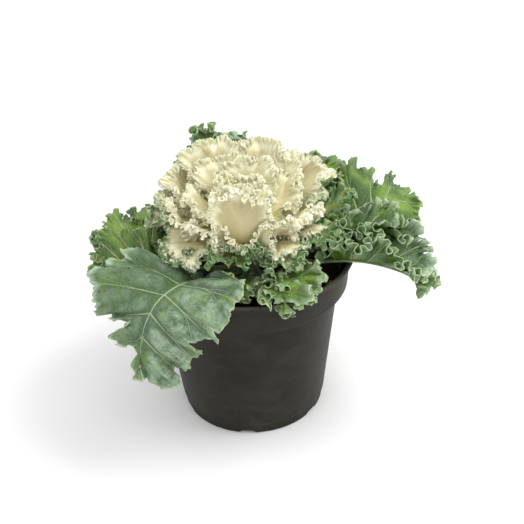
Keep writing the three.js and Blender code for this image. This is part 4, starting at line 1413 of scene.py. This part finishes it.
def fringed_leaf(number):
    return frilled_leaf(
        FRINGED_LEAVES[number], half(14, 14, 20), 3.4, 2.5, 0.9 + number, foot=-3, spread=130, taper=0.8,
        lines=9, frills=FRINGED_FRILLS, columns=640)


def heart_leaf(number):
    azimuth, width = HEART_LEAVES[number][:2]
    return frilled_leaf(
        HEART_LEAVES[number], half(0, 0, 40) if azimuth in CUPPED else half(6, 6, 24), 0.05 * width, 2,
        2.4 * number, foot=-6, spread=128, taper=0.65, lines=7,
        frills=DEEP_FRILLS if azimuth in DEEPLY_FRILLED else HEART_FRILLS,
        columns=720 if width > BROAD_WIDTH else 480)


class BuildFringedLeaves(bpy.types.Operator):
    """Builds the whorl of cream leaves with green fringes under the heart"""
    bl_idname = "kale.build_fringed_leaves"
    bl_label = "Fringed leaves"

    def execute(self, context):
        look = context.scene.kale_cream
        shell = Shell()
        for number in range(len(FRINGED_LEAVES)):
            rng = np.random.default_rng(FRINGED_SEED + number)
            add_blade(shell, fringed_leaf(number), FRILLED_RINGS, look.thickness / MM, rng)
        radius, bottom, top = HUB
        add_lathe(shell, ((0, bottom), (radius * 0.9, bottom), (radius, top), (0, top)), 40)
        material = cream_leaf_finish(look, "Fringed kale leaf")
        place_piece(shell.make_mesh("fringed"), "fringed_whorl", ["fringed_leaves"], material)
        return {"FINISHED"}


class BuildHeart(bpy.types.Operator):
    """Builds the dense cream heart of cupped, frilled leaves"""
    bl_idname = "kale.build_heart"
    bl_label = "Heart"

    def execute(self, context):
        look = context.scene.kale_cream
        material = cream_leaf_finish(look, "Cream kale leaf")
        for name, numbers in HEART_PIECES.items():
            shell = Shell()
            for number in numbers:
                rng = np.random.default_rng(HEART_SEED + number)
                add_blade(shell, heart_leaf(number), FRILLED_RINGS, look.thickness / MM, rng)
            if name == "heart_inner_leaves":
                add_lathe(shell, rounded(CORE, 3), 48)
            place_piece(shell.make_mesh(name), name, ["heart"], material)
        return {"FINISHED"}


# -------------------------------------------------------------------------------------------------
# Stage
# -------------------------------------------------------------------------------------------------

CAMERA_ELEVATION = 31.007
CAMERA_ROLL = -2.506
CAMERA_DISTANCE = 544.96
CAMERA_TARGET = (8.86, 0.0, 96.6)
CAMERA_LENS = 61.83
SENSOR = 36.0
FLOOR_HALF_SIDE = 4.0  # metres, as are the lamps' places and sizes
LAMP_TARGET = (0, 0, 0.1)
LAMPS = (  # name, place, size, share of the power
    ("side_lamp", (0.75, -0.1, 1.15), 0.8, 1.0),
    ("front_lamp", (0.5, -1.3, 0.9), 1.0, 0.3))


def build_floor(look):
    mesh = bpy.data.meshes.new("floor")
    corners = [(x * FLOOR_HALF_SIDE, y * FLOOR_HALF_SIDE, 0) for x, y in ((-1, -1), (1, -1), (1, 1), (-1, 1))]
    mesh.from_pydata(corners, [], [(0, 1, 2, 3)])
    material, tree, shader = new_material("Pale floor")
    base = blend(noise(in_mm(tree), 60, 3) * 0.04, look.floor_colour, (0.8, 0.8, 0.8))
    feed(shader, {"Base Color": base, "Roughness": 0.9})
    mesh.materials.append(material)
    floor = new_object("floor", mesh)


def build_light(scene, look):
    world = bpy.data.worlds.new("Soft daylight")
    scene.world = world
    world.use_nodes = True
    feed(world.node_tree.nodes["Background"], {"Color": (1.0, 1.0, 1.0, 1), "Strength": look.daylight})
    for name, place, size, share in LAMPS:
        lamp = bpy.data.lights.new(name, "AREA")
        lamp.shape = "DISK"
        lamp.size = size
        lamp.energy = look.lamp_power * share
        holder = new_object(name, lamp)
        holder.location = place
        aim = Vector(LAMP_TARGET) - Vector(place)
        holder.rotation_euler = aim.to_track_quat("-Z", "Y").to_euler()


def build_camera(scene):
    tilt, roll = CAMERA_ELEVATION * DEG, CAMERA_ROLL * DEG
    back = Vector((0, -math.cos(tilt), math.sin(tilt)))
    level_up = Vector((0, math.sin(tilt), math.cos(tilt)))
    level_right = Vector((1, 0, 0))
    right = math.cos(roll) * level_right + math.sin(roll) * level_up
    up = -math.sin(roll) * level_right + math.cos(roll) * level_up
    camera = bpy.data.cameras.new("camera")
    camera.lens = CAMERA_LENS
    camera.sensor_width = SENSOR
    camera.clip_start = 0.01
    eye = new_object("camera", camera)
    eye.matrix_world = Matrix((right, up, back)).transposed().to_4x4()
    eye.location = Vector(CAMERA_TARGET) * MM + back * CAMERA_DISTANCE * MM
    scene.camera = eye


class BuildStage(bpy.types.Operator):
    """Builds the pale floor, the soft light and the camera"""
    bl_idname = "kale.build_stage"
    bl_label = "Stage"

    def execute(self, context):
        scene = context.scene
        build_floor(scene.kale_stage)
        build_light(scene, scene.kale_stage)
        build_camera(scene)
        scene.view_settings.view_transform = "Standard"
        scene.view_settings.look = "None"
        return {"FINISHED"}


class KalePanel(bpy.types.Panel):
    """Lists the kale's pieces, each with its sizes and colours"""
    bl_idname = "VIEW3D_PT_kale"
    bl_label = "Ornamental kale"
    bl_space_type = "VIEW_3D"
    bl_region_type = "UI"
    bl_category = "Kale"

    def draw(self, context):
        for operator, look in STEPS:
            box = self.layout.box()
            box.operator(operator.bl_idname)
            settings = getattr(context.scene, look)
            for name in settings.__annotations__:
                box.prop(settings, name)


STEPS = (
    (BuildPot, "kale_pot"), (BuildPeat, "kale_peat"), (BuildStem, "kale_stem"),
    (BuildOuterLeaves, "kale_green"), (BuildFringedLeaves, "kale_cream"), (BuildHeart, "kale_cream"),
    (BuildStage, "kale_stage"))
CLASSES = (*LOOKS.values(), *(operator for operator, _ in STEPS), KalePanel)


def register():
    for item in CLASSES:
        bpy.utils.register_class(item)
    for name, look in LOOKS.items():
        setattr(bpy.types.Scene, name, bpy.props.PointerProperty(type=look))


def unregister():
    for name in LOOKS:
        delattr(bpy.types.Scene, name)
    for item in reversed(CLASSES):
        bpy.utils.unregister_class(item)


def main():
    register()
    for operator, _ in STEPS:
        group, name = operator.bl_idname.split(".")
        getattr(getattr(bpy.ops, group), name)()
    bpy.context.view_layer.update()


if __name__ == "__main__":
    main()
